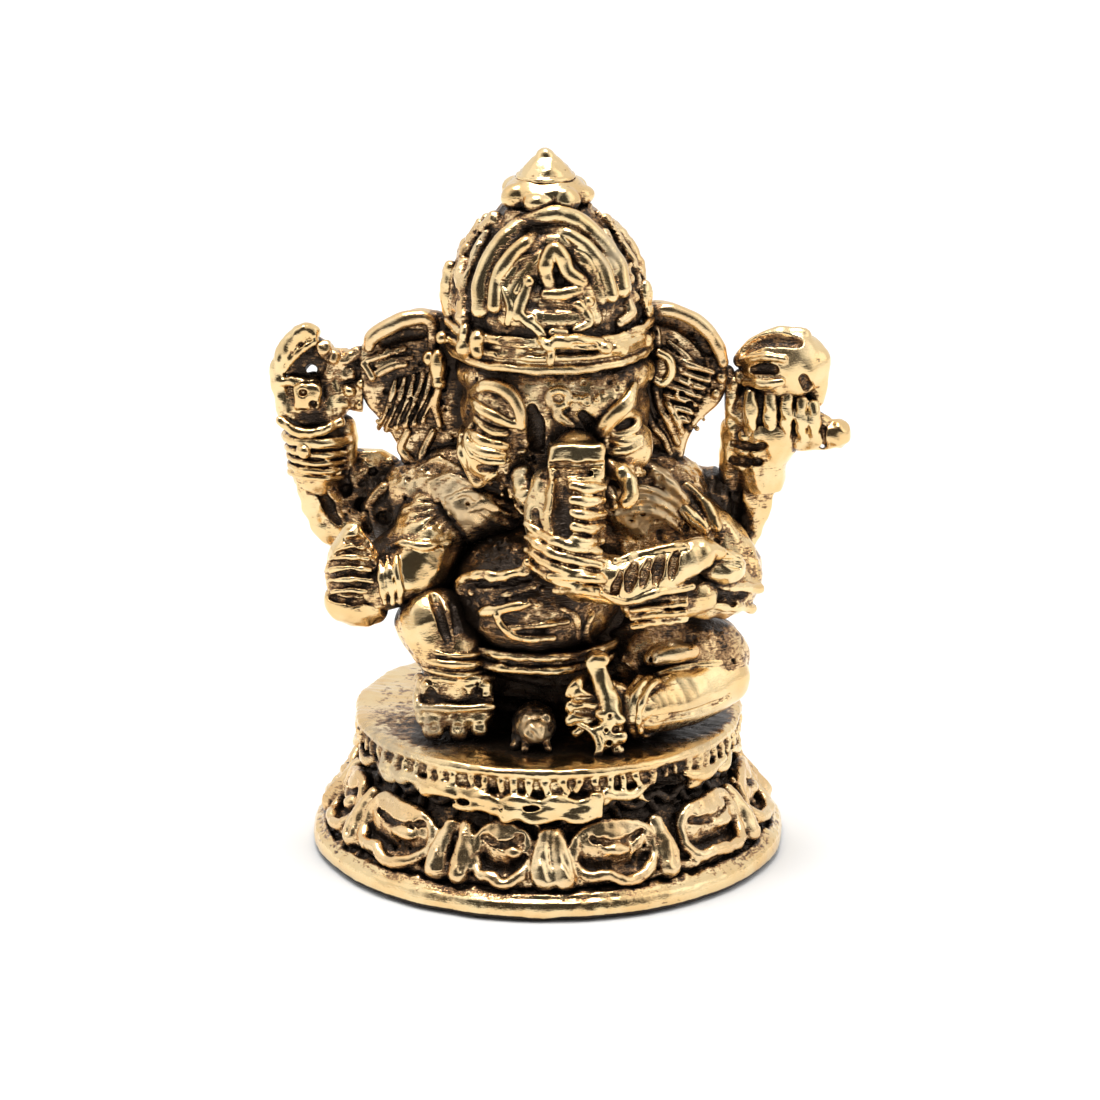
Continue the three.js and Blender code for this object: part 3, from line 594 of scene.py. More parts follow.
@piece("left_thigh", "antiqued_brass", MEDIUM, dark=0.15)
def left_thigh(wax):
    wax.rod([(2.6, -0.7, 9.0, 1.85), (5.0, -1.5, 9.3, 2.15), (6.9, -1.7, 8.9, 1.9)], k=0.3)
    wax.ball((5.3, -2.4, 9.4), (2.6, 1.6, 1.9), k=0.4)
    wax.line([(4.4, 10.0, 0.3), (5.2, 10.3, 0.42), (6.1, 10.35, 0.3)], FRONT, k=0.1)
    wax.line([(3.2, 10.0, 0.12), (3.9, 9.5, 0.16), (4.1, 8.8, 0.16), (4.1, 7.6, 0.14)], FRONT, lift=0.05)
    wax.line([(2.3, 11.0, 0.14), (3.5, 11.4, 0.16), (5.0, 11.9, 0.16), (5.9, 12.1, 0.14)], FRONT)
    wax.groove([(4.1, 9.5, 0.14), (5.0, 9.4, 0.2), (6.0, 9.3, 0.14)], FRONT)
    wax.crumbs((1.8, 8.5), (8.5, 12.6), NEAR, 70, 0.09, 73)
    wax.rough(1.0, 0.04, 19)


@piece("left_shin", "polished_brass", FINE, 0.8, dark=-0.1)
def left_shin(wax):
    wax.rod([(7.4, -2.1, 8.2, 1.45), (5.8, -3.7, 7.9, 1.4), (4.3, -4.9, 7.7, 1.1)], k=0.3)
    wax.groove([(4.5, 7.2, 0.1), (6.0, 7.5, 0.13), (7.2, 7.9, 0.13), (7.8, 8.3, 0.1)], FRONT)
    wax.line([(4.6, 9.3, 0.12), (6.0, 9.75, 0.16), (7.4, 9.9, 0.14)], FRONT, lift=0.03)
    wax.rough(1.1, 0.03, 20)


@piece("left_anklet", "polished_brass", FINE)
def left_anklet(wax):
    for shift, thick in ((-0.42, 0.16), (0.0, 0.24), (0.42, 0.16)):
        wax.bangle((4.15 + 0.8 * shift, -4.95 - 0.5 * shift, 7.8), (0.85, -0.5, -0.1), 1.2, thick)
    wax.rod([(4.5, -4.75, 7.8, 1.1), (3.6, -5.2, 7.8, 1.05)], k=0.05)
    wax.rough(0.8, 0.03, 21)


@piece("left_foot", "polished_brass", FINE)
def left_foot(wax):
    wax.ball((2.5, -5.3, 7.9), (1.4, 0.8, 1.25))
    for x, z, size in ((1.25, 9.0, 0.32), (1.0, 8.4, 0.32), (1.0, 7.8, 0.3), (1.25, 7.25, 0.26)):
        wax.rod([(2.3, -6.0, 8.2, 0.3), (x, -6.15, z - 0.2, size)], k=0.05)
    wax.line([(0.9, 8.8, 0.16), (1.3, 9.3, 0.2), (2.0, 9.5, 0.2), (2.7, 9.2, 0.16)], FEET, lift=0.03)
    wax.groove([(1.2, 8.5, 0.12), (2.0, 8.5, 0.14)], FEET)
    wax.groove([(1.2, 7.9, 0.12), (2.1, 7.9, 0.14)], FEET)
    wax.rough(0.6, 0.03, 22)


@piece("front_sash", "polished_brass", FINE)
def front_sash(wax):
    wax.rod([(2.0, -5.6, 10.1, 0.5), (2.3, -5.9, 9.2, 0.42), (2.65, -6.1, 8.0, 0.6),
        (2.6, -6.25, 6.9, 0.6)], k=0.1)
    wax.ball((2.2, -5.7, 10.2), (0.5, 0.45, 0.4), k=0.08)
    for x, z in ((2.6, 8.3), (2.45, 7.65), (2.9, 7.65), (2.6, 7.1), (2.9, 6.5)):
        wax.ball((x, -6.75, z - 0.3), (0.14, 0.26, 0.14), k=0.05, how="cut")
    for x, z in ((2.3, 8.3), (2.15, 7.6), (3.0, 8.05), (3.1, 7.3), (2.35, 6.9), (2.95, 6.6)):
        wax.ball((x, -6.5, z - 0.3), (0.3, 0.28, 0.3), k=0.06)
    wax.rod([(1.3, -6.2, 7.5, 0.16), (1.9, -6.6, 7.25, 0.18), (2.2, -6.8, 6.6, 0.18),
        (2.1, -6.8, 6.2, 0.16)], k=0.05)
    wax.rough(0.6, 0.03, 23)


@piece("mouse", "antiqued_brass", FINE, dark=-0.25)
def mouse(wax):
    wax.ball((-0.6, -4.9, 7.0), (0.95, 1.4, 0.9))
    wax.ball((-0.55, -6.0, 7.05), (0.6, 0.65, 0.55), k=0.2)
    wax.rod([(-1.3, -5.2, 6.5, 0.3), (-1.4, -5.9, 6.3, 0.22)], k=0.1)
    for side in (-1, 1):
        wax.ball((-0.5 + 0.42 * side, -5.8, 7.5), (0.26, 0.16, 0.28), k=0.06)
        wax.ball((-0.5 + 0.24 * side, -6.65, 7.15), (0.12, 0.14, 0.12), k=0.03, how="cut")
        wax.rod([(-0.5 + 0.4 * side, -5.9, 6.6, 0.2), (-0.5 + 0.5 * side, -6.3, 6.4, 0.18)], k=0.08)
    wax.rough(0.5, 0.03, 24)


# ---- raised arms
@piece("upper_right_armlet", "antiqued_brass", FINE, dark=0.15)
def upper_right_armlet(wax):
    wax.ball((-7.0, 0.9, 15.1), (1.2, 1.75, 1.75))
    for x, radius in ((-7.6, 1.4), (-7.0, 1.6), (-6.4, 1.55)):
        wax.bangle((x, 0.9, 15.1), (1, 0, 0.15), radius, 0.2)
    wax.line([(-8.0, 15.3, 0.18), (-7.4, 16.0, 0.2), (-7.0, 16.3, 0.2), (-6.2, 16.1, 0.16)], ARMS, lift=0.05)
    wax.dots([(-7.2, 14.8, 0.35), (-6.3, 15.6, 0.35)], ARMS, how="cut")
    wax.dots([(-7.2, 14.8, 0.16), (-6.3, 15.6, 0.14)], ARMS)
    wax.rough(0.7, 0.04, 25)


@piece("upper_right_arm", "polished_brass", MEDIUM, dark=0.1)
def upper_right_arm(wax):
    wax.rod([(-7.2, 0.9, 14.9, 1.35), (-8.9, 1.0, 14.4, 1.2), (-9.6, 0.8, 15.6, 1.05),
        (-10.0, 0.6, 17.2, 1.1)], k=0.3)
    wax.ball((-8.0, 0.8, 15.9), (2.0, 0.8, 1.9), k=0.3)
    wax.dots([(-9.3, 16.9, 0.25), (-8.7, 15.2, 0.25), (-8.2, 16.8, 0.3), (-7.5, 16.0, 0.25),
        (-8.3, 14.4, 0.3)], ARMS, k=0.1)
    wax.rod([(-10.75, 0.2, 16.8, 0.42), (-10.55, 0.2, 16.0, 0.45), (-10.2, 0.3, 15.0, 0.48),
        (-9.8, 0.4, 14.2, 0.48), (-9.3, 0.6, 13.6, 0.4)], k=0.15)
    wax.groove([(-10.1, 16.9, 0.14), (-9.9, 16.0, 0.2), (-9.6, 15.2, 0.2), (-9.2, 14.6, 0.14)], ARMS)
    wax.line([(-8.6, 17.4, 0.16), (-8.4, 16.4, 0.2), (-7.6, 16.3, 0.16)], ARMS)
    wax.dots([(-8.8, 16.0, 0.3), (-8.1, 15.4, 0.35), (-7.7, 16.9, 0.25)], ARMS, how="cut")
    wax.crumbs((-9.4, 13.6), (-6.6, 17.6), ARMS, 60, 0.11, 74)
    wax.rough(0.8, 0.05, 26)


@piece("upper_right_bracelet", "polished_brass", FINE)
def upper_right_bracelet(wax):
    wax.rod([(-10.05, 0.5, 16.8, 1.15), (-10.0, 0.5, 18.4, 1.2)], k=0.1)
    for z, radius, thick in ((16.75, 1.2, 0.15), (17.1, 1.24, 0.15), (17.45, 1.27, 0.15),
            (17.85, 1.3, 0.17), (18.4, 1.35, 0.25)):
        wax.bangle((-10.05, 0.5, z), (0.05, 0.05, 1), radius, thick)
    wax.ball((-10.6, -0.9, 18.1), (0.34, 0.3, 0.34), k=0.05)
    wax.rod([(-8.85, 0.5, 16.9, 0.5), (-8.8, 0.5, 18.2, 0.5), (-8.9, 0.4, 18.9, 0.5)], k=0.1)
    wax.rough(0.7, 0.025, 27)


@piece("upper_right_hand", "polished_brass", FINE)
def upper_right_hand(wax):
    wax.ball((-10.3, 0.2, 19.7), (1.55, 0.9, 0.95))
    wax.rod([(-11.3, 0.1, 19.5, 0.34), (-11.6, 0.1, 20.3, 0.36), (-11.7, 0.1, 21.3, 0.36),
        (-11.55, 0.1, 22.0, 0.38), (-11.15, 0.1, 22.65, 0.4), (-10.6, 0.1, 23.15, 0.42),
        (-10.15, 0.1, 23.15, 0.36)], k=0.1)
    wax.rod([(-11.45, -0.1, 21.5, 0.17), (-11.05, -0.2, 22.05, 0.18), (-10.5, -0.2, 22.55, 0.18),
        (-10.05, -0.1, 22.8, 0.2)], k=0.05)
    wax.rod([(-11.7, -0.1, 21.0, 0.2), (-10.9, -0.2, 21.05, 0.24), (-10.0, -0.1, 20.95, 0.2)], k=0.05)
    wax.block_of((-10.4, -0.2, 20.45), (0.6, 0.6, 0.6), round_by=0.25)
    wax.rod([(-11.6, -0.6, 19.4, 0.2), (-10.8, -0.85, 18.95, 0.24), (-9.9, -0.85, 19.0, 0.24),
        (-9.0, -0.5, 19.3, 0.22)], k=0.06)
    wax.rod([(-11.2, -0.75, 19.6, 0.22), (-10.3, -0.85, 19.5, 0.3), (-9.3, -0.75, 19.65, 0.22)], k=0.05,
        how="cut")
    wax.ball((-10.6, -0.85, 20.7), (0.2, 0.3, 0.2), k=0.03, how="cut")
    wax.ball((-10.15, -0.85, 20.2), (0.18, 0.3, 0.18), k=0.03, how="cut")
    wax.ball((-8.95, 0, 20.1), (0.42, 0.5, 0.36))
    wax.ball((-8.7, 0, 20.7), (0.36, 0.45, 0.34))
    wax.ball((-9.3, 0.2, 20.3), (0.75, 0.6, 1.2), k=0.1)
    wax.rod([(-11.0, 0.3, 20.6, 0.45), (-10.2, 0.3, 20.9, 0.45)], k=0.1)
    wax.ball((-8.3, 0.2, 20.5), (0.75, 0.5, 0.95), k=0.15)
    wax.dots([(-8.6, 20.5, 0.26), (-8.2, 19.9, 0.24), (-8.1, 20.9, 0.24)], ARMS, k=0.06)
    wax.rough(0.6, 0.03, 28)


@piece("goad", "antiqued_brass", FINE, dark=0.15)
def goad(wax):
    wax.rod([(-11.3, 0.15, 21.5, 0.28), (-10.9, 0.3, 22.0, 0.34), (-10.2, 0.3, 22.4, 0.34),
        (-9.7, 0.0, 22.4, 0.4)], k=0.1)
    wax.ball((-10.4, 0.35, 21.9), (1.25, 0.4, 1.1), k=0.1)
    wax.ball((-9.0, 0.2, 21.5), (0.95, 0.5, 0.95), k=0.1)
    wax.rod([(-10.25, -2.0, 22.15, 0.24), (-10.25, 2.0, 20.9, 0.22)], k=0.08, how="cut")
    wax.ball((-9.7, -0.1, 22.5), (0.4, 0.42, 0.36))
    wax.ball((-9.25, -0.15, 22.15), (0.34, 0.4, 0.32), k=0.06)
    wax.rod([(-9.5, -0.1, 21.4, 0.3), (-9.2, -0.1, 21.8, 0.28), (-8.6, -0.1, 22.1, 0.3),
        (-8.15, 0, 22.3, 0.28)], k=0.08)
    wax.ball((-8.65, -0.05, 21.4), (0.42, 0.42, 0.38), k=0.06)
    wax.rod([(-9.6, 0, 21.0, 0.3), (-9.3, 0, 21.3, 0.3), (-8.7, 0, 21.3, 0.3)], k=0.1)
    wax.ball((-8.2, 0.25, 21.6), (0.7, 0.4, 0.8), k=0.12)
    wax.rough(0.5, 0.03, 29)


@piece("upper_left_armlet", "antiqued_brass", FINE, dark=0.15)
def upper_left_armlet(wax):
    wax.ball((7.0, 0.9, 15.1), (1.2, 1.75, 1.7))
    for x, radius in ((7.6, 1.4), (7.0, 1.6), (6.4, 1.55)):
        wax.bangle((x, 0.9, 15.1), (1, 0, -0.15), radius, 0.2)
    wax.dots([(7.3, 14.6, 0.32), (6.5, 15.4, 0.34)], ARMS, how="cut")
    wax.rough(0.7, 0.04, 30)


@piece("upper_left_arm", "polished_brass", MEDIUM, dark=0.1)
def upper_left_arm(wax):
    wax.rod([(7.0, 0.9, 14.9, 1.3), (8.2, 1.0, 14.4, 1.15), (8.7, 0.8, 15.6, 1.05),
        (9.25, 0.6, 17.2, 1.1)], k=0.3)
    wax.rod([(9.9, 0.3, 16.9, 0.45), (9.45, 0.3, 15.9, 0.48), (9.2, 0.3, 15.0, 0.5),
        (8.9, 0.4, 14.1, 0.5), (8.7, 0.5, 13.5, 0.4)], k=0.15)
    wax.groove([(8.6, 16.9, 0.14), (8.3, 15.9, 0.22), (8.2, 15.0, 0.24), (8.0, 14.2, 0.16)], ARMS)
    wax.dots([(7.8, 16.2, 0.25), (7.7, 15.3, 0.25)], ARMS, how="cut")
    wax.crumbs((6.6, 13.6), (8.6, 17.4), ARMS, 50, 0.11, 75)
    wax.rough(0.8, 0.05, 31)


@piece("upper_left_bracelet", "polished_brass", FINE)
def upper_left_bracelet(wax):
    wax.rod([(9.25, 0.5, 16.6, 1.15), (9.35, 0.5, 17.6, 1.2), (9.6, 0.45, 18.6, 1.45)], k=0.1)
    wax.rod([(8.05, 0.5, 16.3, 0.62), (8.05, 0.4, 17.4, 0.6), (8.1, 0.3, 18.8, 0.6)], k=0.15)
    for x, z, size in ((8.55, 18.35, 0.3), (8.5, 17.75, 0.36), (8.35, 17.1, 0.36), (9.0, 17.55, 0.2),
            (8.95, 16.95, 0.2)):
        wax.dots([(x, z + 0.2, size)], ARMS, k=0.06)
    wax.line([(8.1, 18.2, 0.12), (8.9, 18.0, 0.16), (9.4, 18.1, 0.12)], ARMS, k=0.05, how="cut")
    wax.line([(8.0, 17.45, 0.12), (8.8, 17.3, 0.16), (9.2, 17.35, 0.12)], ARMS, k=0.05, how="cut")
    wax.rough(0.7, 0.025, 32)


@piece("upper_left_hand", "polished_brass", FINE)
def upper_left_hand(wax):
    wax.ball((9.7, 0.25, 19.5), (2.0, 0.85, 1.55))
    for x, low, high, size in ((8.75, 18.9, 20.6, 0.34), (9.6, 18.5, 20.75, 0.34),
            (10.3, 18.6, 20.85, 0.32), (10.95, 18.6, 20.3, 0.3), (11.5, 18.6, 20.1, 0.3)):
        wax.rod([(x, -0.5, low, size * 0.8), (x, -0.72, 0.5 * (low + high), size),
            (x, -0.6, high, size * 0.85)], k=0.05)
    wax.rod([(8.0, 0.1, 19.0, 0.36), (7.95, 0.1, 20.0, 0.38), (8.1, 0.1, 20.9, 0.4)], k=0.08)
    wax.ball((7.75, 0.25, 20.5), (0.55, 0.45, 1.2), k=0.12)
    wax.rod([(8.35, -0.7, 19.2, 0.12), (8.35, -0.75, 20.6, 0.14)], k=0.05, how="cut")
    wax.rod([(10.9, 0.1, 18.6, 0.75), (12.5, -0.1, 18.65, 0.64)], k=0.15)
    wax.bangle((11.95, -0.05, 18.72), (1, 0, 0), 0.62, 0.12, how="cut")
    wax.ball((12.62, -0.1, 18.7), (0.55, 0.62, 0.62), k=0.05)
    wax.rod([(11.4, -0.1, 19.5, 0.3), (12.0, -0.2, 19.25, 0.3)], k=0.08)
    wax.rough(0.6, 0.03, 33)


@piece("lotus_bud", "polished_brass", FINE, dark=-0.05)
def lotus_bud(wax):
    wax.ball((10.25, 0.1, 21.75), (1.95, 1.35, 1.6))
    wax.rod([(11.7, 0.0, 22.0, 0.5), (11.75, 0.0, 21.0, 0.42), (11.6, 0.0, 20.2, 0.4)], k=0.15)
    wax.rod([(8.3, 0.1, 21.9, 0.3), (8.6, 0.0, 22.4, 0.3), (9.3, 0.0, 22.95, 0.3),
        (10.2, 0.0, 23.15, 0.3), (11.1, 0, 23.05, 0.3)], k=0.1)
    wax.line([(8.5, 22.35, 0.16), (9.2, 22.75, 0.26), (10.0, 22.9, 0.3), (10.8, 22.75, 0.2)], ARMS,
        k=0.05, how="cut")
    wax.line([(8.4, 21.95, 0.14), (9.4, 22.1, 0.16), (10.2, 22.0, 0.14)], ARMS)
    wax.line([(8.9, 21.5, 0.16), (9.4, 21.55, 0.2), (9.8, 21.5, 0.16)], ARMS, how="cut")
    wax.line([(8.6, 21.0, 0.16), (9.4, 20.9, 0.2), (10.1, 21.0, 0.16)], ARMS, lift=0.05)
    wax.dots([(8.3, 21.2, 0.34)], ARMS)
    wax.line([(11.1, 21.1, 0.18), (11.25, 20.7, 0.2)], ARMS, how="cut")
    wax.rough(1.0, 0.03, 34)


# ---- lower arms
@piece("lower_right_arm", "polished_brass", MEDIUM, dark=0.1)
def lower_right_arm(wax):
    wax.rod([(-4.4, 0.2, 15.8, 1.8), (-5.1, -1.4, 14.5, 1.7), (-5.8, -2.6, 13.3, 1.35),
        (-7.4, -2.9, 12.6, 1.15)], k=0.4)
    wax.ball((-6.5, -1.4, 13.2), (1.5, 1.2, 1.5), k=0.5)
    wax.line([(-6.8, 14.7, 0.12), (-6.1, 14.95, 0.16), (-5.2, 14.75, 0.16), (-4.3, 14.95, 0.12)], NEAR,
        lift=0.04)
    for x, z in ((-6.2, 16.5), (-6.3, 16.0), (-6.1, 15.5), (-5.6, 15.1), (-5.0, 15.0), (-4.5, 15.1)):
        wax.groove([(x, z, 0.07), (0.5 * (x - 3.8), 0.5 * (z + 16.4), 0.1), (-3.8, 16.4, 0.07)], SHOULDERS)
    for x in (-6.4, -6.75, -7.1):
        wax.line([(x - 0.1, 14.6, 0.12), (x, 13.6, 0.15), (x + 0.1, 12.6, 0.12)], FRONT, lift=0.03)
    wax.rough(0.9, 0.04, 35)


@piece("lower_right_palm", "polished_brass", FINE)
def lower_right_palm(wax):
    wax.ball((-8.4, -3.1, 12.0), (1.3, 0.95, 1.1))
    wax.ball((-7.8, -3.0, 11.7), (0.9, 0.8, 0.8), k=0.4)
    wax.groove([(-9.3, 12.75, 0.1), (-8.4, 12.6, 0.14), (-7.4, 12.6, 0.1)], FRONT)
    wax.rough(0.7, 0.03, 36)


@piece("lower_right_fingers", "polished_brass", FINE)
def lower_right_fingers(wax):
    wax.ball((-8.35, -3.1, 13.2), (1.3, 0.95, 1.6))
    wax.rod([(-8.5, -3.0, 14.0, 0.95), (-8.45, -3.05, 14.8, 0.6), (-8.4, -3.05, 15.15, 0.42)], k=0.3)
    for z, left, right in ((14.85, -9.0, -7.7), (14.35, -9.4, -7.5), (13.85, -9.6, -7.4),
            (13.35, -9.6, -7.3), (12.85, -9.5, -7.3)):
        wax.groove([(left, z - 0.1, 0.1), (0.5 * (left + right), z, 0.17), (right, z - 0.1, 0.14)], FRONT)
        wax.line([(left + 0.3, z + 0.2, 0.08), (0.5 * (left + right), z + 0.28, 0.1),
            (right - 0.2, z + 0.18, 0.08)], FRONT)
    wax.groove([(-8.6, 15.35, 0.1), (-8.1, 15.3, 0.2), (-7.7, 15.2, 0.2)], FRONT)
    wax.rough(0.6, 0.03, 37)


@piece("lower_left_arm", "polished_brass", MEDIUM, dark=0.1)
def lower_left_arm(wax):
    wax.rod([(5.3, -0.7, 15.6, 1.3), (6.8, -0.9, 14.6, 1.25), (8.1, -1.5, 13.0, 1.25),
        (7.7, -2.8, 12.4, 1.15), (6.6, -3.9, 12.5, 1.0)], k=0.3)
    wax.line([(5.0, 16.3, 0.2), (6.0, 15.7, 0.26), (6.8, 14.9, 0.2)], CHEST, k=0.08)
    wax.line([(6.0, 16.9, 0.16), (6.8, 16.0, 0.24), (7.3, 15.0, 0.2)], CHEST, k=0.08)
    wax.line([(6.3, 13.35, 0.16), (7.6, 13.35, 0.2), (9.0, 13.2, 0.18)], FRONT, lift=0.08)
    wax.groove([(6.3, 13.0, 0.13), (7.4, 12.95, 0.16), (8.5, 12.85, 0.13)], FRONT)
    wax.line([(6.4, 12.6, 0.14), (7.6, 12.4, 0.18), (9.1, 12.3, 0.14)], FRONT, lift=0.04)
    wax.dots([(6.8, 12.35, 0.18), (7.9, 12.6, 0.2), (7.5, 11.5, 0.24), (8.2, 11.8, 0.22),
        (8.9, 11.9, 0.2)], FRONT, how="cut")
    wax.crumbs((5.0, 13.0), (9.2, 16.4), SHOULDERS, 40, 0.09, 76)
    wax.rough(0.9, 0.04, 38)


@piece("lower_left_hand", "polished_brass", FINE, dark=0.1)
def lower_left_hand(wax):
    wax.rod([(6.4, -4.6, 12.8, 0.9), (5.0, -5.0, 12.6, 0.85), (3.7, -5.3, 12.5, 0.6)], k=0.2)
    for i in range(4):
        wax.line([(3.6, 12.9 - 0.35 * i, 0.12), (4.6, 13.1 - 0.35 * i, 0.15),
            (5.8, 13.2 - 0.35 * i, 0.14)], FEET, lift=0.04)
    wax.rough(0.6, 0.03, 39)


@piece("sweet", "polished_brass", FINE)
def sweet(wax):
    wax.ball((7.45, -4.45, 13.95), (1.05, 0.85, 0.72))
    wax.rod([(6.6, -4.7, 14.5, 0.22), (7.3, -4.9, 14.75, 0.26), (8.1, -4.7, 14.45, 0.22)], k=0.08)
    wax.rod([(6.6, -5.1, 14.2, 0.1), (7.4, -5.3, 14.4, 0.12), (8.2, -5.0, 14.1, 0.1)], k=0.04, how="cut")
    wax.rough(0.7, 0.03, 40)


# ---- head
@piece("head", "polished_brass", FINE, 0.6, dark=0.1)
def head(wax):
    wax.ball((0.3, -0.8, 20.0), (4.1, 3.2, 3.0))
    wax.ball((0.3, -0.8, 21.8), (4.3, 3.3, 1.6), k=0.5)
    wax.ball((-1.3, -2.9, 20.7), (1.9, 1.3, 1.5), k=0.4)
    wax.ball((1.9, -2.9, 20.9), (1.9, 1.3, 1.5), k=0.4)
    wax.ball((-2.2, -2.6, 18.7), (1.6, 1.5, 1.5), k=0.4)
    wax.ball((3.0, -2.6, 18.9), (1.5, 1.4, 1.4), k=0.4)
    wax.ball((0.4, -2.6, 17.4), (2.3, 1.6, 1.6), k=0.4)
    wax.groove([(-0.7, 21.0, 0.2), (-0.5, 20.2, 0.3), (-0.5, 19.4, 0.3)], FACE)
    wax.groove([(1.5, 20.7, 0.2), (1.9, 20.2, 0.26)], FACE)
    wax.line([(-3.6, 20.2, 0.13), (-3.7, 19.3, 0.15), (-3.4, 18.3, 0.16), (-2.9, 17.7, 0.15),
        (-2.3, 18.2, 0.13)], FACE)
    wax.groove([(-2.9, 18.35, 0.14), (-2.3, 18.45, 0.16)], FACE)
    wax.line([(3.0, 18.5, 0.15), (3.5, 18.3, 0.18), (4.0, 18.2, 0.14)], FACE)
    wax.line([(-1.6, 17.5, 0.1), (-1.2, 16.6, 0.14), (-0.6, 15.9, 0.12)], FACE)
    wax.crumbs((-3.5, 20.5), (4.2, 22.9), FACE, 90, 0.09, 69)
    wax.crumbs((-2.5, 15.8), (0.0, 19.5), FACE, 60, 0.12, 70)
    wax.crumbs((2.0, 15.8), (4.0, 18.5), FACE, 40, 0.12, 71)
    wax.rough(0.9, 0.03, 41)


def on_face(wax, points):
    wax.line(points, FACE, on=BUILT["head"])


@piece("right_eye", "polished_brass", FINEST, 0.5)
def right_eye(wax):
    on_face(wax, [(-3.0, 20.6, 0.16), (-2.4, 20.1, 0.22), (-1.8, 20.0, 0.18)])
    on_face(wax, [(-3.3, 20.0, 0.15), (-2.7, 19.6, 0.22), (-1.8, 19.4, 0.16)])
    on_face(wax, [(-3.4, 19.5, 0.14), (-2.8, 19.15, 0.2), (-1.9, 19.0, 0.15)])
    on_face(wax, [(-3.2, 19.0, 0.12), (-2.6, 18.75, 0.16), (-1.9, 18.7, 0.13)])
    on_face(wax, [(-3.2, 20.3, 0.15), (-3.4, 19.9, 0.15), (-3.4, 19.4, 0.15), (-3.2, 19.0, 0.15)])


@piece("left_eye", "polished_brass", FINEST, 0.5)
def left_eye(wax):
    on_face(wax, [(2.6, 20.25, 0.16), (3.2, 20.85, 0.2), (3.7, 20.7, 0.2), (3.65, 20.15, 0.18),
        (2.9, 19.9, 0.17), (2.6, 20.2, 0.16)])
    on_face(wax, [(2.6, 19.7, 0.14), (3.3, 19.55, 0.2), (3.9, 19.75, 0.15)])
    on_face(wax, [(2.5, 19.15, 0.14), (3.3, 19.2, 0.2), (3.9, 19.5, 0.14)])
    on_face(wax, [(2.5, 20.1, 0.15), (2.4, 19.7, 0.15), (2.5, 19.2, 0.15)])


@piece("right_brow", "polished_brass", FINEST, 0.8)
def right_brow(wax):
    on_face(wax, [(-3.3, 21.7, 0.18), (-2.5, 22.1, 0.26), (-1.7, 21.8, 0.28), (-1.25, 21.1, 0.24),
        (-1.1, 20.3, 0.18)])
    on_face(wax, [(-3.3, 21.65, 0.18), (-2.9, 21.1, 0.2), (-2.2, 20.7, 0.22), (-1.6, 20.4, 0.18),
        (-1.1, 20.3, 0.15)])


@piece("left_brow", "polished_brass", FINEST, 0.5)
def left_brow(wax):
    on_face(wax, [(3.6, 22.0, 0.2), (3.3, 21.3, 0.3), (2.7, 20.7, 0.32), (2.3, 20.1, 0.28),
        (2.2, 19.8, 0.2)])


@piece("forehead_mark", "polished_brass", FINEST, 0.75)
def forehead_mark(wax):
    face = BUILT["head"]
    ring = [(0.45 + 0.42 * math.cos(a), 21.5 + 0.36 * math.sin(a), 0.17) for a in np.linspace(0,
        2 * math.pi, 9)]
    wax.line(ring, FACE, on=face)
    wax.line([(0.45, 21.1, 0.18), (0.4, 20.8, 0.2), (0.7, 20.5, 0.2), (1.0, 20.3, 0.15)], FACE, on=face)
    wax.line([(0.9, 21.5, 0.15), (1.3, 21.45, 0.16)], FACE, on=face)
    wax.dots([(1.65, 21.4, 0.3)], FACE, on=face)
    wax.dots([(1.65, 21.4, 0.13)], FACE, lift=0.3, on=face, how="cut")


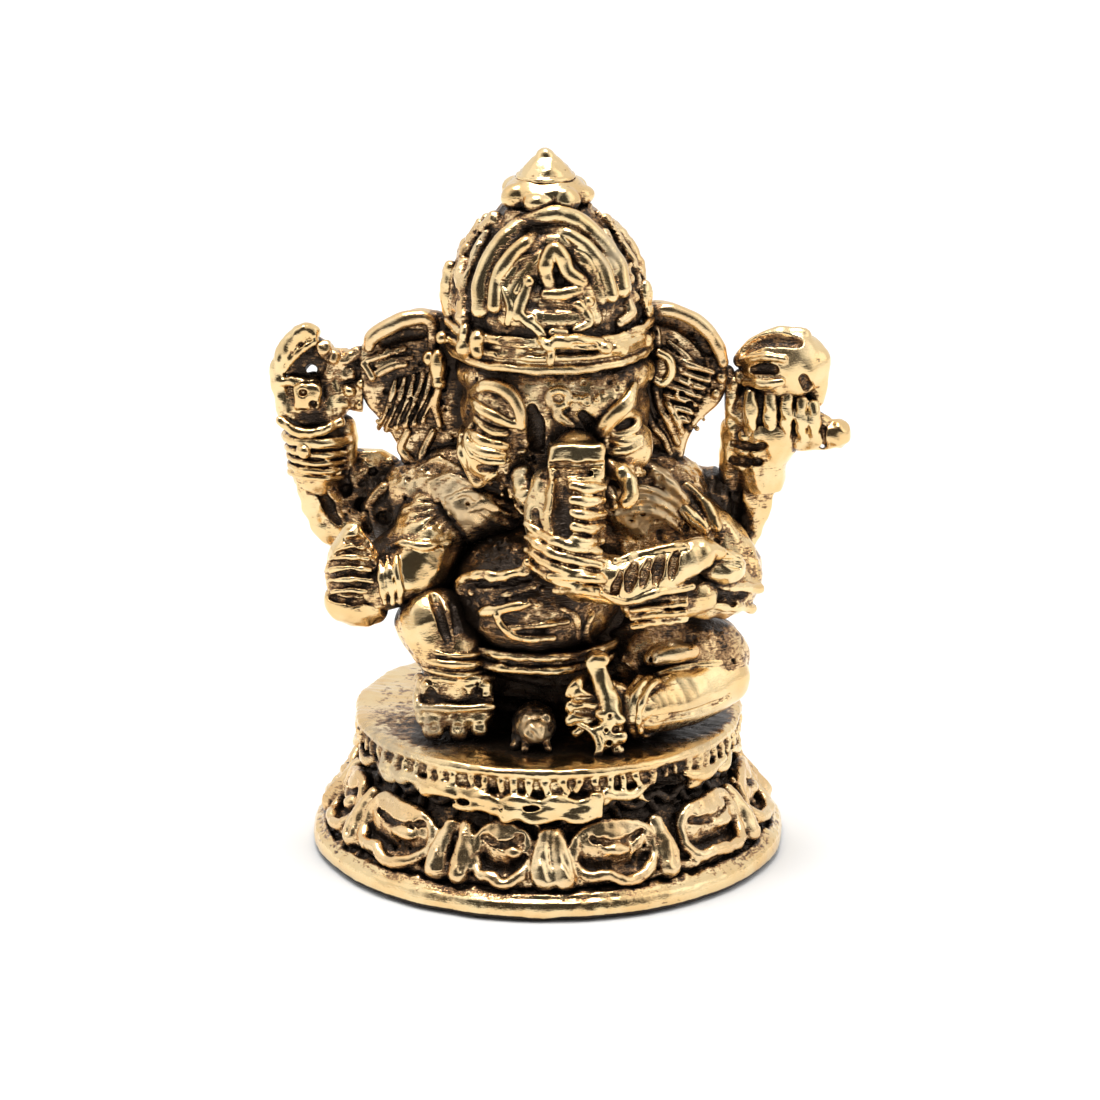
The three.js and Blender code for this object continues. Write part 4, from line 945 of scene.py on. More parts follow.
@piece("trunk", "polished_brass", FINE, 0.7)
def trunk(wax):
    wax.rod([(1.2, -4.3, 18.9, 1.1), (1.2, -5.2, 17.8, 1.25), (0.9, -5.7, 16.4, 1.25),
        (0.9, -6.0, 15.0, 1.2), (2.0, -6.3, 14.1, 1.1), (3.7, -6.25, 14.0, 1.05), (5.3, -5.8, 14.5, 0.95),
        (6.4, -5.5, 14.9, 0.75)], k=0.3)
    wax.block_of((1.2, -4.9, 18.8), (1.2, 1.0, 0.85), round_by=0.3, turn=(-12, 0, 0), k=0.12)
    wax.rod([(0.0, -4.7, 17.6, 0.8), (-0.1, -5.2, 16.4, 0.95), (0.4, -5.8, 15.1, 1.1),
        (1.6, -6.1, 14.1, 1.15)], k=0.2)
    wax.groove([(0.1, 18.55, 0.12), (1.0, 18.5, 0.16), (2.3, 18.55, 0.12)], FACE)
    wax.groove([(-0.2, 18.1, 0.12), (1.2, 18.15, 0.14), (2.8, 18.15, 0.1)], FACE)
    wax.groove([(0.5, 17.8, 0.3), (0.6, 17.0, 0.4), (0.55, 16.2, 0.4), (0.75, 15.5, 0.3)], FRONT, k=0.1)
    for z in (17.75, 17.15, 16.55, 15.95, 15.35):
        wax.line([(1.1, z + 0.04, 0.18), (1.7, z - 0.08, 0.22), (2.3, z, 0.16)], FRONT, lift=0.04)
    wax.groove([(-0.6, 16.6, 0.12), (-0.45, 15.9, 0.16), (0.0, 15.2, 0.16), (0.5, 14.8, 0.12)], FRONT)
    for z in (15.6, 15.0, 14.45, 13.9):
        wax.line([(-0.9, z + 0.5, 0.13), (0.0, z - 0.1, 0.2), (1.0, z - 0.5, 0.2), (2.2, z - 0.75, 0.14)],
            FRONT, lift=0.05)
    wax.line([(0.1, 13.75, 0.12), (1.3, 13.7, 0.16), (2.4, 13.55, 0.12)], FRONT)
    wax.line([(0.3, 13.1, 0.12), (1.5, 13.1, 0.16), (2.6, 12.85, 0.12)], FRONT)
    for x, z, size, lean in ((2.95, 13.3, 0.13, 0.2), (3.55, 13.7, 0.19, 0.25), (4.15, 13.85, 0.15, 0.25),
            (4.7, 14.0, 0.18, 0.25), (5.35, 14.2, 0.15, 0.2)):
        wax.groove([(x + 0.12, z + 0.55, size * 0.8), (x, z, size * 1.3),
            (x - lean * 0.4, z - 0.5, size * 0.8)], FRONT)
    wax.line([(2.9, 14.45, 0.13), (4.0, 14.75, 0.16), (5.0, 15.0, 0.16), (5.8, 15.1, 0.14)], FRONT,
        lift=0.03)
    wax.line([(2.3, 13.0, 0.12), (3.3, 12.6, 0.16), (4.5, 13.0, 0.16), (5.6, 13.2, 0.14),
        (6.5, 13.4, 0.12)], FRONT, lift=0.03)
    wax.rod([(5.9, -5.6, 15.0, 0.4), (6.7, -5.4, 15.1, 0.4), (7.3, -5.1, 14.8, 0.34)], k=0.1)
    wax.rough(0.8, 0.03, 42)


@piece("right_tusk", "polished_brass", FINE, dark=0.1)
def right_tusk(wax):
    wax.rod([(-1.1, -3.9, 17.9, 0.5), (-1.0, -4.5, 17.3, 0.48), (-0.9, -4.8, 17.2, 0.42)], k=0.1)
    wax.rough(0.5, 0.03, 43)


@piece("left_tusk", "polished_brass", FINE)
def left_tusk(wax):
    wax.rod([(2.6, -4.0, 18.3, 0.45), (3.2, -4.5, 18.1, 0.42), (3.5, -4.9, 17.5, 0.38),
        (3.3, -5.2, 17.1, 0.34)], k=0.1)
    wax.rod([(2.6, -4.5, 17.4, 0.28), (2.85, -5.0, 16.9, 0.26)], k=0.06)
    wax.rough(0.5, 0.03, 44)


# ---- ears
@piece("right_ear", "antiqued_brass", FINE, 0.7, dark=0.05)
def right_ear(wax):
    wax.fin([(-8.1, 22.5), (-8.2, 21.5), (-8.0, 20.2), (-7.5, 19.5), (-6.9, 18.8), (-6.55, 18.1),
        (-6.3, 17.3), (-5.6, 16.9), (-4.4, 17.0), (-3.4, 18.6), (-3.3, 21.0), (-3.9, 23.6), (-5.4, 24.2),
        (-6.3, 24.0), (-7.2, 23.55)], 0.1, 0.42, round_by=0.3)
    at = lambda points, **how: wax.line(points, EARS, **how)
    at([(-7.7, 22.7, 0.2), (-7.6, 23.05, 0.28), (-7.0, 23.5, 0.3), (-6.3, 23.85, 0.3), (-5.5, 24.0, 0.28),
        (-5.05, 23.8, 0.24), (-4.95, 23.2, 0.2), (-5.0, 22.5, 0.17), (-5.05, 21.7, 0.15)])
    at([(-7.1, 22.85, 0.17), (-6.2, 23.15, 0.22), (-5.5, 23.2, 0.2)], how="cut")
    at([(-7.8, 22.1, 0.12), (-7.0, 22.4, 0.15), (-6.2, 22.6, 0.13)])
    at([(-7.4, 21.85, 0.1), (-6.6, 22.15, 0.12), (-5.9, 22.2, 0.1)])
    at([(-7.6, 21.3, 0.15), (-7.2, 21.6, 0.18), (-6.7, 21.85, 0.18), (-6.2, 21.95, 0.15)], lift=0.05)
    at([(-7.95, 21.9, 0.15), (-7.6, 21.35, 0.15)])
    for i in range(6):
        start = -7.3 + 0.4 * i
        at([(start - 0.1, 18.9 + 0.1 * i, 0.12), (start + 0.4, 19.9 + 0.1 * i, 0.16),
            (start + 0.7, 21.2 + 0.1 * i, 0.1)], lift=0.08)
        at([(start + 0.12, 19.0 + 0.1 * i, 0.12), (start + 0.62, 20.0 + 0.1 * i, 0.14),
            (start + 0.92, 21.2 + 0.1 * i, 0.1)], how="cut")
    wax.crumbs((-7.4, 17.6), (-4.2, 22.6), EARS, 70, 0.11, 65)
    at([(-6.1, 18.9, 0.13), (-6.4, 18.2, 0.16), (-6.1, 17.75, 0.15), (-5.8, 17.5, 0.13)])
    at([(-5.0, 18.9, 0.14), (-5.45, 17.9, 0.17), (-5.3, 17.45, 0.17), (-4.9, 17.25, 0.17),
        (-4.5, 17.4, 0.14)])
    at([(-4.7, 19.2, 0.13), (-4.9, 20.0, 0.17), (-4.75, 20.8, 0.15)])
    wax.rod([(-6.8, 0.6, 22.5, 0.3), (-6.4, 0.7, 20.5, 0.34), (-5.6, 0.6, 18.4, 0.3)], k=0.2)
    wax.rough(1.0, 0.02, 45)


@piece("left_ear", "antiqued_brass", FINE, 0.7, dark=0.05)
def left_ear(wax):
    wax.fin([(4.3, 24.5), (5.2, 24.5), (6.0, 24.2), (6.8, 23.6), (7.4, 22.8), (7.7, 21.9), (7.8, 21.0),
        (7.4, 20.0), (6.6, 19.2), (6.1, 18.4), (5.8, 17.4), (4.9, 16.9), (3.9, 17.6), (3.5, 21.0),
        (3.8, 23.4)], 0.1, 0.42, round_by=0.3)
    at = lambda points, **how: wax.line(points, EARS, **how)
    at([(4.4, 24.3, 0.24), (5.2, 24.3, 0.27), (6.0, 24.05, 0.27), (6.8, 23.45, 0.27), (7.3, 22.7, 0.25),
        (7.55, 22.0, 0.22)])
    at([(4.6, 23.6, 0.18), (4.7, 22.8, 0.2)])
    at([(5.2, 22.9, 0.12), (5.9, 22.3, 0.15), (6.4, 21.8, 0.14), (6.9, 21.4, 0.12)])
    for i in range(7):
        start = 5.0 + 0.02 * i
        at([(start, 22.6 - 0.5 * i, 0.12), (start + 0.85, 22.0 - 0.42 * i, 0.15),
            (start + 2.1 - 0.2 * i, 21.6 - 0.37 * i, 0.1)], lift=0.08)
        at([(start, 22.36 - 0.5 * i, 0.12), (start + 0.85, 21.76 - 0.42 * i, 0.14),
            (start + 2.1 - 0.2 * i, 21.36 - 0.37 * i, 0.1)], how="cut")
    at([(4.7, 23.9, 0.2), (5.6, 23.7, 0.26), (6.4, 23.1, 0.26), (6.9, 22.4, 0.2)], how="cut")
    at([(5.0, 20.4, 0.12), (5.4, 19.8, 0.15), (5.8, 18.9, 0.12)], lift=0.05)
    wax.crumbs((4.2, 18.0), (7.2, 23.4), EARS, 60, 0.11, 66)
    wax.dots([(7.5, 21.3, 0.28), (7.25, 20.6, 0.26)], EARS)
    at([(4.1, 20.9, 0.12), (4.2, 20.0, 0.15), (4.5, 19.2, 0.15), (5.0, 18.6, 0.14), (5.2, 18.1, 0.12)])
    at([(4.6, 20.9, 0.12), (4.8, 20.1, 0.15), (5.2, 19.3, 0.15), (5.6, 18.4, 0.12)])
    at([(5.3, 17.9, 0.13), (5.1, 17.5, 0.15), (4.7, 17.3, 0.13)])
    at([(4.7, 18.0, 0.13), (4.9, 17.7, 0.15)], how="cut")
    wax.rod([(6.5, 0.6, 22.5, 0.3), (6.2, 0.7, 20.5, 0.34), (5.3, 0.6, 18.4, 0.3)], k=0.2)
    wax.rough(1.0, 0.02, 46)


@piece("right_ear_jewel", "polished_brass", FINEST, 0.6)
def right_ear_jewel(wax):
    wax.ball((-4.75, -0.75, 21.9), (0.42, 0.45, 0.75))
    wax.ball((-5.15, -0.6, 22.2), (0.3, 0.35, 0.36), k=0.08)
    wax.ball((-4.7, -0.9, 21.2), (0.34, 0.34, 0.32), k=0.08)


@piece("left_ear_jewel", "polished_brass", FINEST, 0.6)
def left_ear_jewel(wax):
    wax.rod([(4.75, -0.8, 22.5, 0.2), (5.2, -0.8, 22.2, 0.22), (5.3, -0.8, 21.6, 0.22),
        (4.95, -0.8, 21.15, 0.22), (4.6, -0.8, 21.3, 0.2)], k=0.06)
    wax.ball((4.85, -0.6, 21.8), (0.4, 0.25, 0.5), k=0.08)


# ---- crown
CROWN_AXIS = (-0.1, -0.5)  # where the crown's own middle stands in X and Y


@piece("crown_band", "polished_brass", MIDDLING, 0.6)
def crown_band(wax):
    centre = (0.05, -0.5)
    wax.turned([(0, 22.6), (4.1, 22.6), (4.3, 22.8), (4.3, 23.9), (0, 24.1)], centre=centre)
    for z, radius, thick in ((22.8, 4.32, 0.2), (23.35, 4.38, 0.18), (23.95, 4.34, 0.22)):
        wax.bangle((*centre, z), (0, 0, 1), radius, thick)
    at = lambda points, **how: wax.line(points, CROWN, **how)
    at([(-2.0, 23.65, 0.13), (-1.1, 23.6, 0.16), (-0.3, 23.65, 0.12)], how="cut")
    at([(-2.1, 23.1, 0.12), (-1.2, 23.1, 0.14), (-0.3, 23.15, 0.12)], how="cut")
    at([(-0.6, 23.9, 0.15), (-0.1, 23.65, 0.18), (0.15, 23.2, 0.17), (0.1, 22.8, 0.14)], lift=0.12)
    at([(0.3, 23.65, 0.24), (1.2, 23.65, 0.28), (2.2, 23.6, 0.24)], lift=0.05)
    at([(1.1, 23.45, 0.09), (2.0, 23.45, 0.1)], how="cut")
    wax.dots([(2.45, 23.4, 0.3)], CROWN, lift=0.1)
    wax.dots([(2.5, 23.4, 0.14)], CROWN, lift=0.3, how="cut")
    at([(2.8, 23.35, 0.18), (3.4, 23.6, 0.2), (4.0, 23.9, 0.17)], lift=0.05)
    at([(1.0, 24.1, 0.1), (2.5, 24.1, 0.13), (4.0, 24.15, 0.1)], how="cut")
    for x in (-3.5, -2.95):
        at([(x, 24.3, 0.2), (x - 0.03, 23.7, 0.27), (x - 0.03, 23.2, 0.22)], lift=0.15)
    for a in range(45, 320, 24):
        spot = round_at(a, 4.6, 23.4) + [*CROWN_AXIS, 0]
        wax.ball(spot, (0.3, 0.3, 0.3), k=0.05)
    wax.rough(0.9, 0.03, 47)


@piece("crown_dome", "antiqued_brass", MIDDLING, 0.6, dark=0.05)
def crown_dome(wax):
    centre = CROWN_AXIS
    wax.turned([(0, 23.9), (4.05, 23.9), (4.1, 24.7), (3.95, 25.6), (3.65, 26.5), (3.1, 27.4),
        (2.5, 28.3), (1.9, 29.0), (0, 29.0)], centre=centre)
    wax.ball((0.3, -4.6, 25.6), (2.4, 0.6, 2.3), (-25, 0, 0), k=0.3, how="cut")
    wax.ball((-0.7, -2.9, 28.7), (1.5, 0.9, 0.6), (-40, 0, 0), k=0.2, how="cut")
    wax.line([(2.4, 28.9, 0.24), (3.2, 28.2, 0.26), (3.7, 27.2, 0.26), (3.9, 26.4, 0.22)], CROWN, k=0.08)
    at = lambda points, **how: wax.line(points, CROWN, **how)
    at([(-4.05, 27.0, 0.26), (-4.15, 26.3, 0.3), (-4.1, 25.5, 0.28)])
    at([(-3.55, 27.6, 0.24), (-3.6, 26.4, 0.28), (-3.55, 25.0, 0.26)], lift=0.05)
    at([(-3.85, 27.2, 0.09), (-3.9, 26.2, 0.11), (-3.85, 25.3, 0.09)], how="cut")
    at([(-3.1, 28.1, 0.3), (-2.6, 28.6, 0.3), (-2.2, 29.0, 0.26)])
    wax.dots([(-3.5, 24.7, 0.4), (3.5, 25.6, 0.34), (3.2, 26.2, 0.26)], CROWN)
    at([(3.0, 24.5, 0.2), (3.4, 24.9, 0.26), (3.3, 25.4, 0.2)])
    at([(2.7, 27.6, 0.14), (3.2, 26.9, 0.18), (3.5, 26.2, 0.16)])
    for a in range(60, 310, 20):
        low, high = round_at(a, 4.05, 24.4), round_at(a, 2.9, 28.0)
        middle = round_at(a, 3.8, 26.4)
        wax.rod([(*(p + [*CROWN_AXIS, 0]), 0.22) for p in (low, middle, high)], k=0.08)
    wax.crumbs((-2.4, 23.9), (2.9, 28.4), CROWN, 130, 0.1, 62)
    wax.crumbs((1.6, 26.5), (4.0, 29.6), CROWN, 60, 0.1, 63)
    wax.crumbs((-4.2, 24.2), (-2.6, 29.0), CROWN, 40, 0.09, 64)
    wax.rough(1.0, 0.04, 48)
    wax.rough(0.4, 0.02, 49)


ARCH = [(-2.85, 25.1), (-2.75, 26.4), (-2.1, 27.8), (-1.0, 28.8), (0.3, 29.2), (1.4, 28.8), (2.2, 28.0),
    (2.9, 27.0), (3.1, 26.0)]
INNER_ARCH = [(-2.25, 25.3), (-2.15, 26.4), (-1.65, 27.3), (-0.9, 28.0), (0.0, 28.5), (0.9, 28.3),
    (1.8, 27.6), (2.4, 26.7), (2.65, 25.7)]


@piece("crown_arch", "polished_brass", FINE, 1.1)
def crown_arch(wax):
    dome = BUILT["crown_dome"]
    wax.line([(x, z, 0.34) for x, z in ARCH], CROWN, on=dome, lift=0.12)
    wax.line([(x, z, 0.27) for x, z in INNER_ARCH], CROWN, on=dome, lift=0.2)
    wax.line([(0.62 * x, 25.0 + 0.72 * (z - 25.2), 0.13) for x, z in INNER_ARCH[1:-1]], CROWN, on=dome,
        lift=0.08)
    wax.line([(0.5 * (a[0] + b[0]), 0.5 * (a[1] + b[1]), 0.3) for a, b in zip(ARCH, INNER_ARCH)], CROWN,
        on=dome, lift=-0.2)
    wax.line([(0.8 * x, 25.0 + 0.86 * (z - 25.1), 0.34) for x, z in INNER_ARCH], CROWN, on=dome, lift=-0.33)
    wax.rough(1.1, 0.015, 50)


@piece("crown_crest", "polished_brass", FINEST, 1.3)
def crown_crest(wax):
    dome = BUILT["crown_dome"]
    at = lambda points, **how: wax.line(points, CROWN, on=dome, **how)
    for back in ([(-1.7, 24.6, 0.4), (-1.3, 25.8, 0.5), (-0.5, 27.0, 0.5), (0.2, 27.5, 0.3)],
            [(1.8, 24.6, 0.4), (1.3, 26.0, 0.5), (0.7, 27.0, 0.4)],
            [(-1.6, 24.6, 0.4), (0.2, 24.5, 0.5), (1.8, 24.6, 0.4)],
            [(-1.4, 25.5, 0.4), (0.2, 25.5, 0.5), (1.6, 25.5, 0.4)]):
        at(back, lift=-0.42, k=0.15)
    at([(0.05, 26.2, 0.24), (-0.1, 26.7, 0.28), (-0.05, 27.2, 0.3), (0.25, 27.75, 0.26), (0.6, 27.3, 0.3),
        (0.85, 26.7, 0.28), (1.4, 26.3, 0.26)], lift=0.15)
    at([(-0.1, 25.75, 0.22), (0.6, 25.75, 0.26), (1.3, 25.95, 0.22)], lift=0.15)
    at([(-1.6, 26.9, 0.12), (-1.2, 27.3, 0.15), (-0.7, 27.4, 0.12)], lift=0.1)
    at([(-1.9, 26.0, 0.12), (-1.6, 25.2, 0.15), (-1.7, 24.5, 0.12)], lift=0.1)
    wax.dots([(1.4, 26.3, 0.32), (1.7, 25.4, 0.26)], CROWN, on=dome, lift=0.1)
    at([(-0.8, 26.3, 0.2), (-1.1, 25.5, 0.24), (-1.3, 24.8, 0.2)], lift=0.08)
    at([(-1.3, 25.0, 0.17), (-0.9, 24.6, 0.18), (-0.5, 24.3, 0.18), (-0.2, 23.95, 0.16)], lift=0.15)
    at([(1.3, 25.3, 0.18), (1.6, 24.9, 0.2), (1.7, 24.5, 0.18), (1.2, 24.2, 0.16)], lift=0.12)
    at([(-0.3, 25.3, 0.14), (0.4, 25.35, 0.16), (1.1, 25.3, 0.14)], lift=0.08)
    at([(0.2, 24.1, 0.16), (0.7, 24.05, 0.17)], lift=0.15)
    wax.dots([(-0.7, 24.7, 0.2)], CROWN, on=dome, lift=0.2)


@piece("crown_side_lock_right", "polished_brass", FINE, 0.5)
def crown_side_lock_right(wax):
    wax.rod([(-4.15, -0.9, 24.2, 0.34), (-4.3, -0.9, 25.2, 0.36), (-4.15, -0.9, 26.3, 0.3)], k=0.1)
    wax.rough(0.5, 0.02, 51)


@piece("crown_side_lock_left", "polished_brass", FINE, 0.5)
def crown_side_lock_left(wax):
    wax.ball((4.05, -1.0, 25.1), (0.45, 0.5, 0.7))
    wax.ball((4.2, -1.0, 24.4), (0.36, 0.45, 0.36), k=0.08)
    wax.rough(0.5, 0.02, 52)


@piece("finial_ring", "polished_brass", MIDDLING, 0.5)
def finial_ring(wax):
    centre = CROWN_AXIS
    wax.turned([(0, 28.8), (1.3, 28.8), (1.6, 29.1), (1.78, 29.5), (1.7, 29.85), (1.35, 30.15),
        (0, 30.15)], centre=centre)
    for a, size in ((-58, 0.62), (-12, 0.46), (34, 0.58), (80, 0.5), (130, 0.6), (180, 0.5), (236, 0.6)):
        wax.ball(round_at(a, 1.5, 29.4 + 0.3 * (size - 0.46)) + [*CROWN_AXIS, 0], (0.66, 0.62, size),
            (0, 0, a), k=0.06)
    for a in (-35, 12, 58):
        wax.rod([(*(round_at(a, 1.95, 29.9) + [*CROWN_AXIS, 0]), 0.1),
            (*(round_at(a + 5, 2.1, 29.2) + [*CROWN_AXIS, 0]), 0.14)], k=0.05, how="cut")
    wax.rough(0.9, 0.03, 53)


@piece("finial_tip", "polished_brass", FINE, 0.4)
def finial_tip(wax):
    centre = CROWN_AXIS
    wax.turned([(0, 29.9), (1.25, 29.9), (1.25, 30.2), (0.98, 30.6), (0.62, 30.95), (0.42, 31.1),
        (0.34, 31.25), (0.2, 31.4), (0, 31.4)], centre=centre)
    wax.bangle((*centre, 30.22), (0, 0, 1), 1.2, 0.1)
    wax.rough(0.7, 0.02, 54)


# ---------------------------------------------------------------- from wax to meshes
BUILT = {}


def sculpt_all():
    for name, (make, slot, step, margin, dark) in PIECES.items():
        low, high = node_box(name)
        wax = Wax(low, high, step, margin)
        make(wax)
        for axis in range(3):
            ends = [slice(None)] * 3
            ends[axis] = [0, -1]
            wax.d[tuple(ends)] = FAR / 4
        BUILT[name] = wax


def largest_part(points, faces):
    """Keeps the biggest connected part, so that no stray crumbs are left."""
    label = np.arange(len(points))
    while True:
        lowest = label[faces].min(1)
        new = label.copy()
        for corner in range(faces.shape[1]):
            np.minimum.at(new, faces[:, corner], lowest)
        new = new[new]
        if (new == label).all():
            break
        label = new
    owners = label[faces[:, 0]]
    names, counts = np.unique(owners, return_counts=True)
    if len(names) == 1:
        return points, faces
    keep = owners == names[counts.argmax()]
    faces = faces[keep]
    used = np.unique(faces)
    place = np.full(len(points), -1)
    place[used] = np.arange(len(used))
    return points[used], place[faces]


def mesh_of(wax):
    """The surface of a lump as points in mm and four-cornered faces."""
    grid = openvdb.FloatGrid(FAR)
    grid.copyFromArray(wax.d)
    points, faces = grid.convertToQuads(0.0)
    points = np.asarray(points, float) * wax.step + wax.low
    return largest_part(points, np.asarray(faces, np.int64))


def sample(field, low, step, spots):
    """A field's value at spots, by blending its eight nearest lattice points."""
    place = (spots - low) / step
    place = np.clip(place, 0, np.array(field.shape) - 1.001)
    whole = place.astype(int)
    part = place - whole
    shares = (1 - part, part)
    total = 0
    for i in (0, 1):
        for j in (0, 1):
            for k in (0, 1):
                share = shares[i][:, 0] * shares[j][:, 1] * shares[k][:, 2]
                total = total + share * field[whole[:, 0] + i, whole[:, 1] + j, whole[:, 2] + k]
    return total


class Whole:
    """The whole statuette as one field, to find where patina stays."""

    step = 0.12
    low = np.array([-13.2, -11.4, -0.8])
    high = np.array([14.4, 11.4, 32.4])

    def __init__(self):
        self.count = np.ceil((self.high - self.low) / self.step).astype(int)
        self.d = np.full(self.count, FAR, np.float32)
        for wax in BUILT.values():
            first = np.maximum(np.ceil((wax.low - self.low) / self.step).astype(int), 0)
            top = np.array([axis[-1] for axis in wax.axes])
            last = np.minimum(np.floor((top - self.low) / self.step).astype(int), self.count - 1)
            sub = wax.d
            for axis in range(3):
                spots = (self.low[axis] + self.step * np.arange(first[axis],
                    last[axis] + 1) - wax.low[axis]) / wax.step
                whole = np.clip(spots.astype(int), 0, sub.shape[axis] - 2)
                part = (spots - whole).astype(np.float32)
                shape = [1, 1, 1]
                shape[axis] = -1
                part = part.reshape(shape)
                sub = np.take(sub, whole, axis) * (1 - part) + np.take(sub, whole + 1, axis) * part
            cut = tuple(slice(first[i], last[i] + 1) for i in range(3))
            self.d[cut] = np.minimum(self.d[cut], sub)

    def at(self, spots):
        return sample(self.d, self.low, self.step, spots)

    def soften(self, reach):
        """Averages the field over a small box: on the surface that is above 0 on ridges, below in hollows."""
        width = int(round(reach / self.step))
        soft = np.clip(self.d, -0.8, 0.8)
        for _ in range(2):
            for axis in range(3):
                total = np.cumsum(soft, axis=axis, dtype=np.float32)
                ahead = np.roll(total, -width, axis)
                behind = np.roll(total, width + 1, axis)
                soft = (ahead - behind) / (2 * width + 1)
        self.soft = soft

    def height(self, spots):
        return sample(self.soft, self.low, self.step, spots)


def normals_of(points, faces):
    corners = points[faces]
    across = np.cross(corners[:, 2] - corners[:, 0], corners[:, 3] - corners[:, 1])
    total = np.zeros_like(points)
    for corner in range(4):
        np.add.at(total, faces[:, corner], across)
    return total / np.maximum(np.linalg.norm(total, axis=1, keepdims=True), 1e-12)


def hollow_of(whole, points, normals):
    """0 on open, raised metal and 1 deep in a hollow."""
    total = 0
    for reach, weight in ((0.25, 0.35), (0.5, 0.35), (0.85, 0.3)):
        open_by = whole.at(points + normals * reach)
        total = total + weight * np.clip(1 - open_by / reach, 0, 1.6)
    return total


# ---------------------------------------------------------------- patina, painted shade and painted highlights
# centre, reach and amount of darkening, or of cleaner metal where the amount is negative. Most are patina
# left on unevenly. Some are painted shade: the seat's front under the legs and mouse, the slot in the
# moulding, between the lower right arm and the body, and between the right knee and the belly. The
# negative ones on the lower right forearm, on both knees and at the trunk's root are painted highlights.
PATINA_REACH = 0.48  # mm, how far round a point its height above its surroundings is taken
HOLLOW_SHARE = 0.6
RIDGE_SHARE = 2.0
PATINA_BASE = 0.25
PATINA_AND_PAINTED_LIGHT_SPOTS = [((-0.5, -5.2, 11.6), 2.6, 0.35), ((-0.8, -4.5, 8.2), 2.6, 0.4),
    ((-8.0, 0.0, 16.0), 1.6, 0.35), ((7.8, 0.0, 16.2), 1.4, 0.3), ((4.2, -3.0, 12.0), 2.0, 0.4),
    ((-3.4, -4.0, 12.2), 1.6, 0.35), ((-6.2, -0.5, 22.7), 1.0, 0.25), ((-10.4, -0.4, 22.0), 0.9, 0.35),
    ((-0.7, -3.8, 20.2), 0.8, 0.3), ((1.7, -3.8, 20.3), 0.6, 0.3), ((0.6, -6.2, 16.6), 0.7, 0.3),
    ((5.0, -6.6, 4.7), 1.7, 0.6), ((-0.8, -3.2, 28.6), 1.4, 0.4), ((5.2, -4.6, 8.8), 1.0, 0.25),
    ((-2.3, -4.0, 14.8), 1.9, 0.6), ((-3.9, -4.3, 11.4), 1.1, 0.5), ((6.2, -0.6, 21.8), 1.5, 0.2),
    ((-6.2, -0.6, 20.6), 1.6, 0.15), ((-10.2, -0.6, 19.6), 0.8, 0.3), ((0.3, -4.2, 26.0), 2.0, 0.15),
    ((9.4, -1.0, 21.6), 0.7, 0.25), ((0.3, -3.6, 21.9), 2.8, -0.22), ((1.2, -5.8, 18.8), 1.2, -0.35),
    ((-5.4, -4.0, 13.4), 1.7, -0.6), ((-5.6, -4.9, 7.6), 0.8, 0.2), ((-4.0, -2.4, 16.2), 2.2, -0.1),
    ((4.6, -2.4, 16.2), 2.2, -0.2), ((2.9, -3.4, 18.9), 1.3, -0.25), ((-2.6, -3.6, 18.9), 1.3, -0.25),
    ((-7.6, -1.4, 14.6), 1.2, 0.45), ((-0.9, -5.0, 6.3), 2.4, 0.5), ((-6.4, -3.2, 6.2), 3.0, 0.35),
    ((7.2, -1.0, 6.2), 2.4, 0.3), ((-0.8, -2.4, 8.2), 2.4, 0.4), ((-0.6, -5.8, 7.0), 0.9, -0.6),
    ((5.2, -4.0, 10.0), 1.0, -0.4), ((6.4, -4.2, 8.6), 1.9, -0.25), ((-5.6, -4.6, 11.6), 1.0, -0.35),
    ((2.0, -7.0, 14.2), 1.8, -0.15),]
# the same for skin left as cast, dull and pale
MATTE_SPOTS = [((-3.4, -2.0, 16.3), 2.0, 0.5), ((4.4, -2.0, 16.4), 2.0, 0.8),
    ((-6.2, -4.4, 6.3), 3.4, 1.0), ((-0.6, -5.8, 7.0), 1.2, 0.8), ((-4.8, -1.6, 15.6), 1.8, 0.3),
    ((6.0, -4.5, 6.3), 2.2, 0.6), ((-0.9, -4.6, 18.4), 1.1, 0.6), ((-1.0, -5.0, 16.4), 1.2, 0.7),
    ((2.8, -3.2, 27.6), 1.2, 0.8), ((-2.9, -2.6, 28.0), 1.0, 0.6), ((10.3, -0.8, 22.9), 1.4, 0.5),
    ((3.0, -4.3, 17.0), 1.2, 0.5), ((0.3, -3.6, 21.9), 2.8, 0.5), ((5.6, -3.6, 11.4), 1.6, 0.5),]


def spots_at(points, spots):
    total = np.zeros(len(points))
    for centre, reach, amount in spots:
        far = np.linalg.norm(points - np.array(centre), axis=1) / reach
        total += amount * np.clip(1 - far * far, 0, 1)
    return total


# ---------------------------------------------------------------- materials
def node(tree, kind, **settings):
    made = tree.nodes.new(kind)
    for key, value in settings.items():
        setattr(made, key, value)
    return made


def number(tree, operation, a, b=None, c=None, clamp=False):
    """A sum on numbers or sockets."""
    made = node(tree, "ShaderNodeMath", operation=operation, use_clamp=clamp)
    for socket, value in zip(made.inputs, (a, b, c)):
        if value is None:
            continue
        if isinstance(value, (int, float)):
            socket.default_value = value
        else:
            tree.links.new(value, socket)
    return made.outputs[0]


def step_between(tree, value, low, high):
    made = node(tree, "ShaderNodeMapRange", interpolation_type="SMOOTHSTEP")
    tree.links.new(value, made.inputs["Value"])
    made.inputs["From Min"].default_value = low
    made.inputs["From Max"].default_value = high
    return made.outputs["Result"]


def mixed(tree, share, a, b):
    made = node(tree, "ShaderNodeMix", data_type="RGBA")
    for name, value in (("Factor", share), ("A", a), ("B", b)):
        kind = "VALUE" if name == "Factor" else "RGBA"
        socket = next(s for s in made.inputs if s.name == name and s.type == kind)
        if isinstance(value, tuple):
            socket.default_value = (*value, 1)
        else:
            tree.links.new(value, socket)
    return next(s for s in made.outputs if s.type == "RGBA")


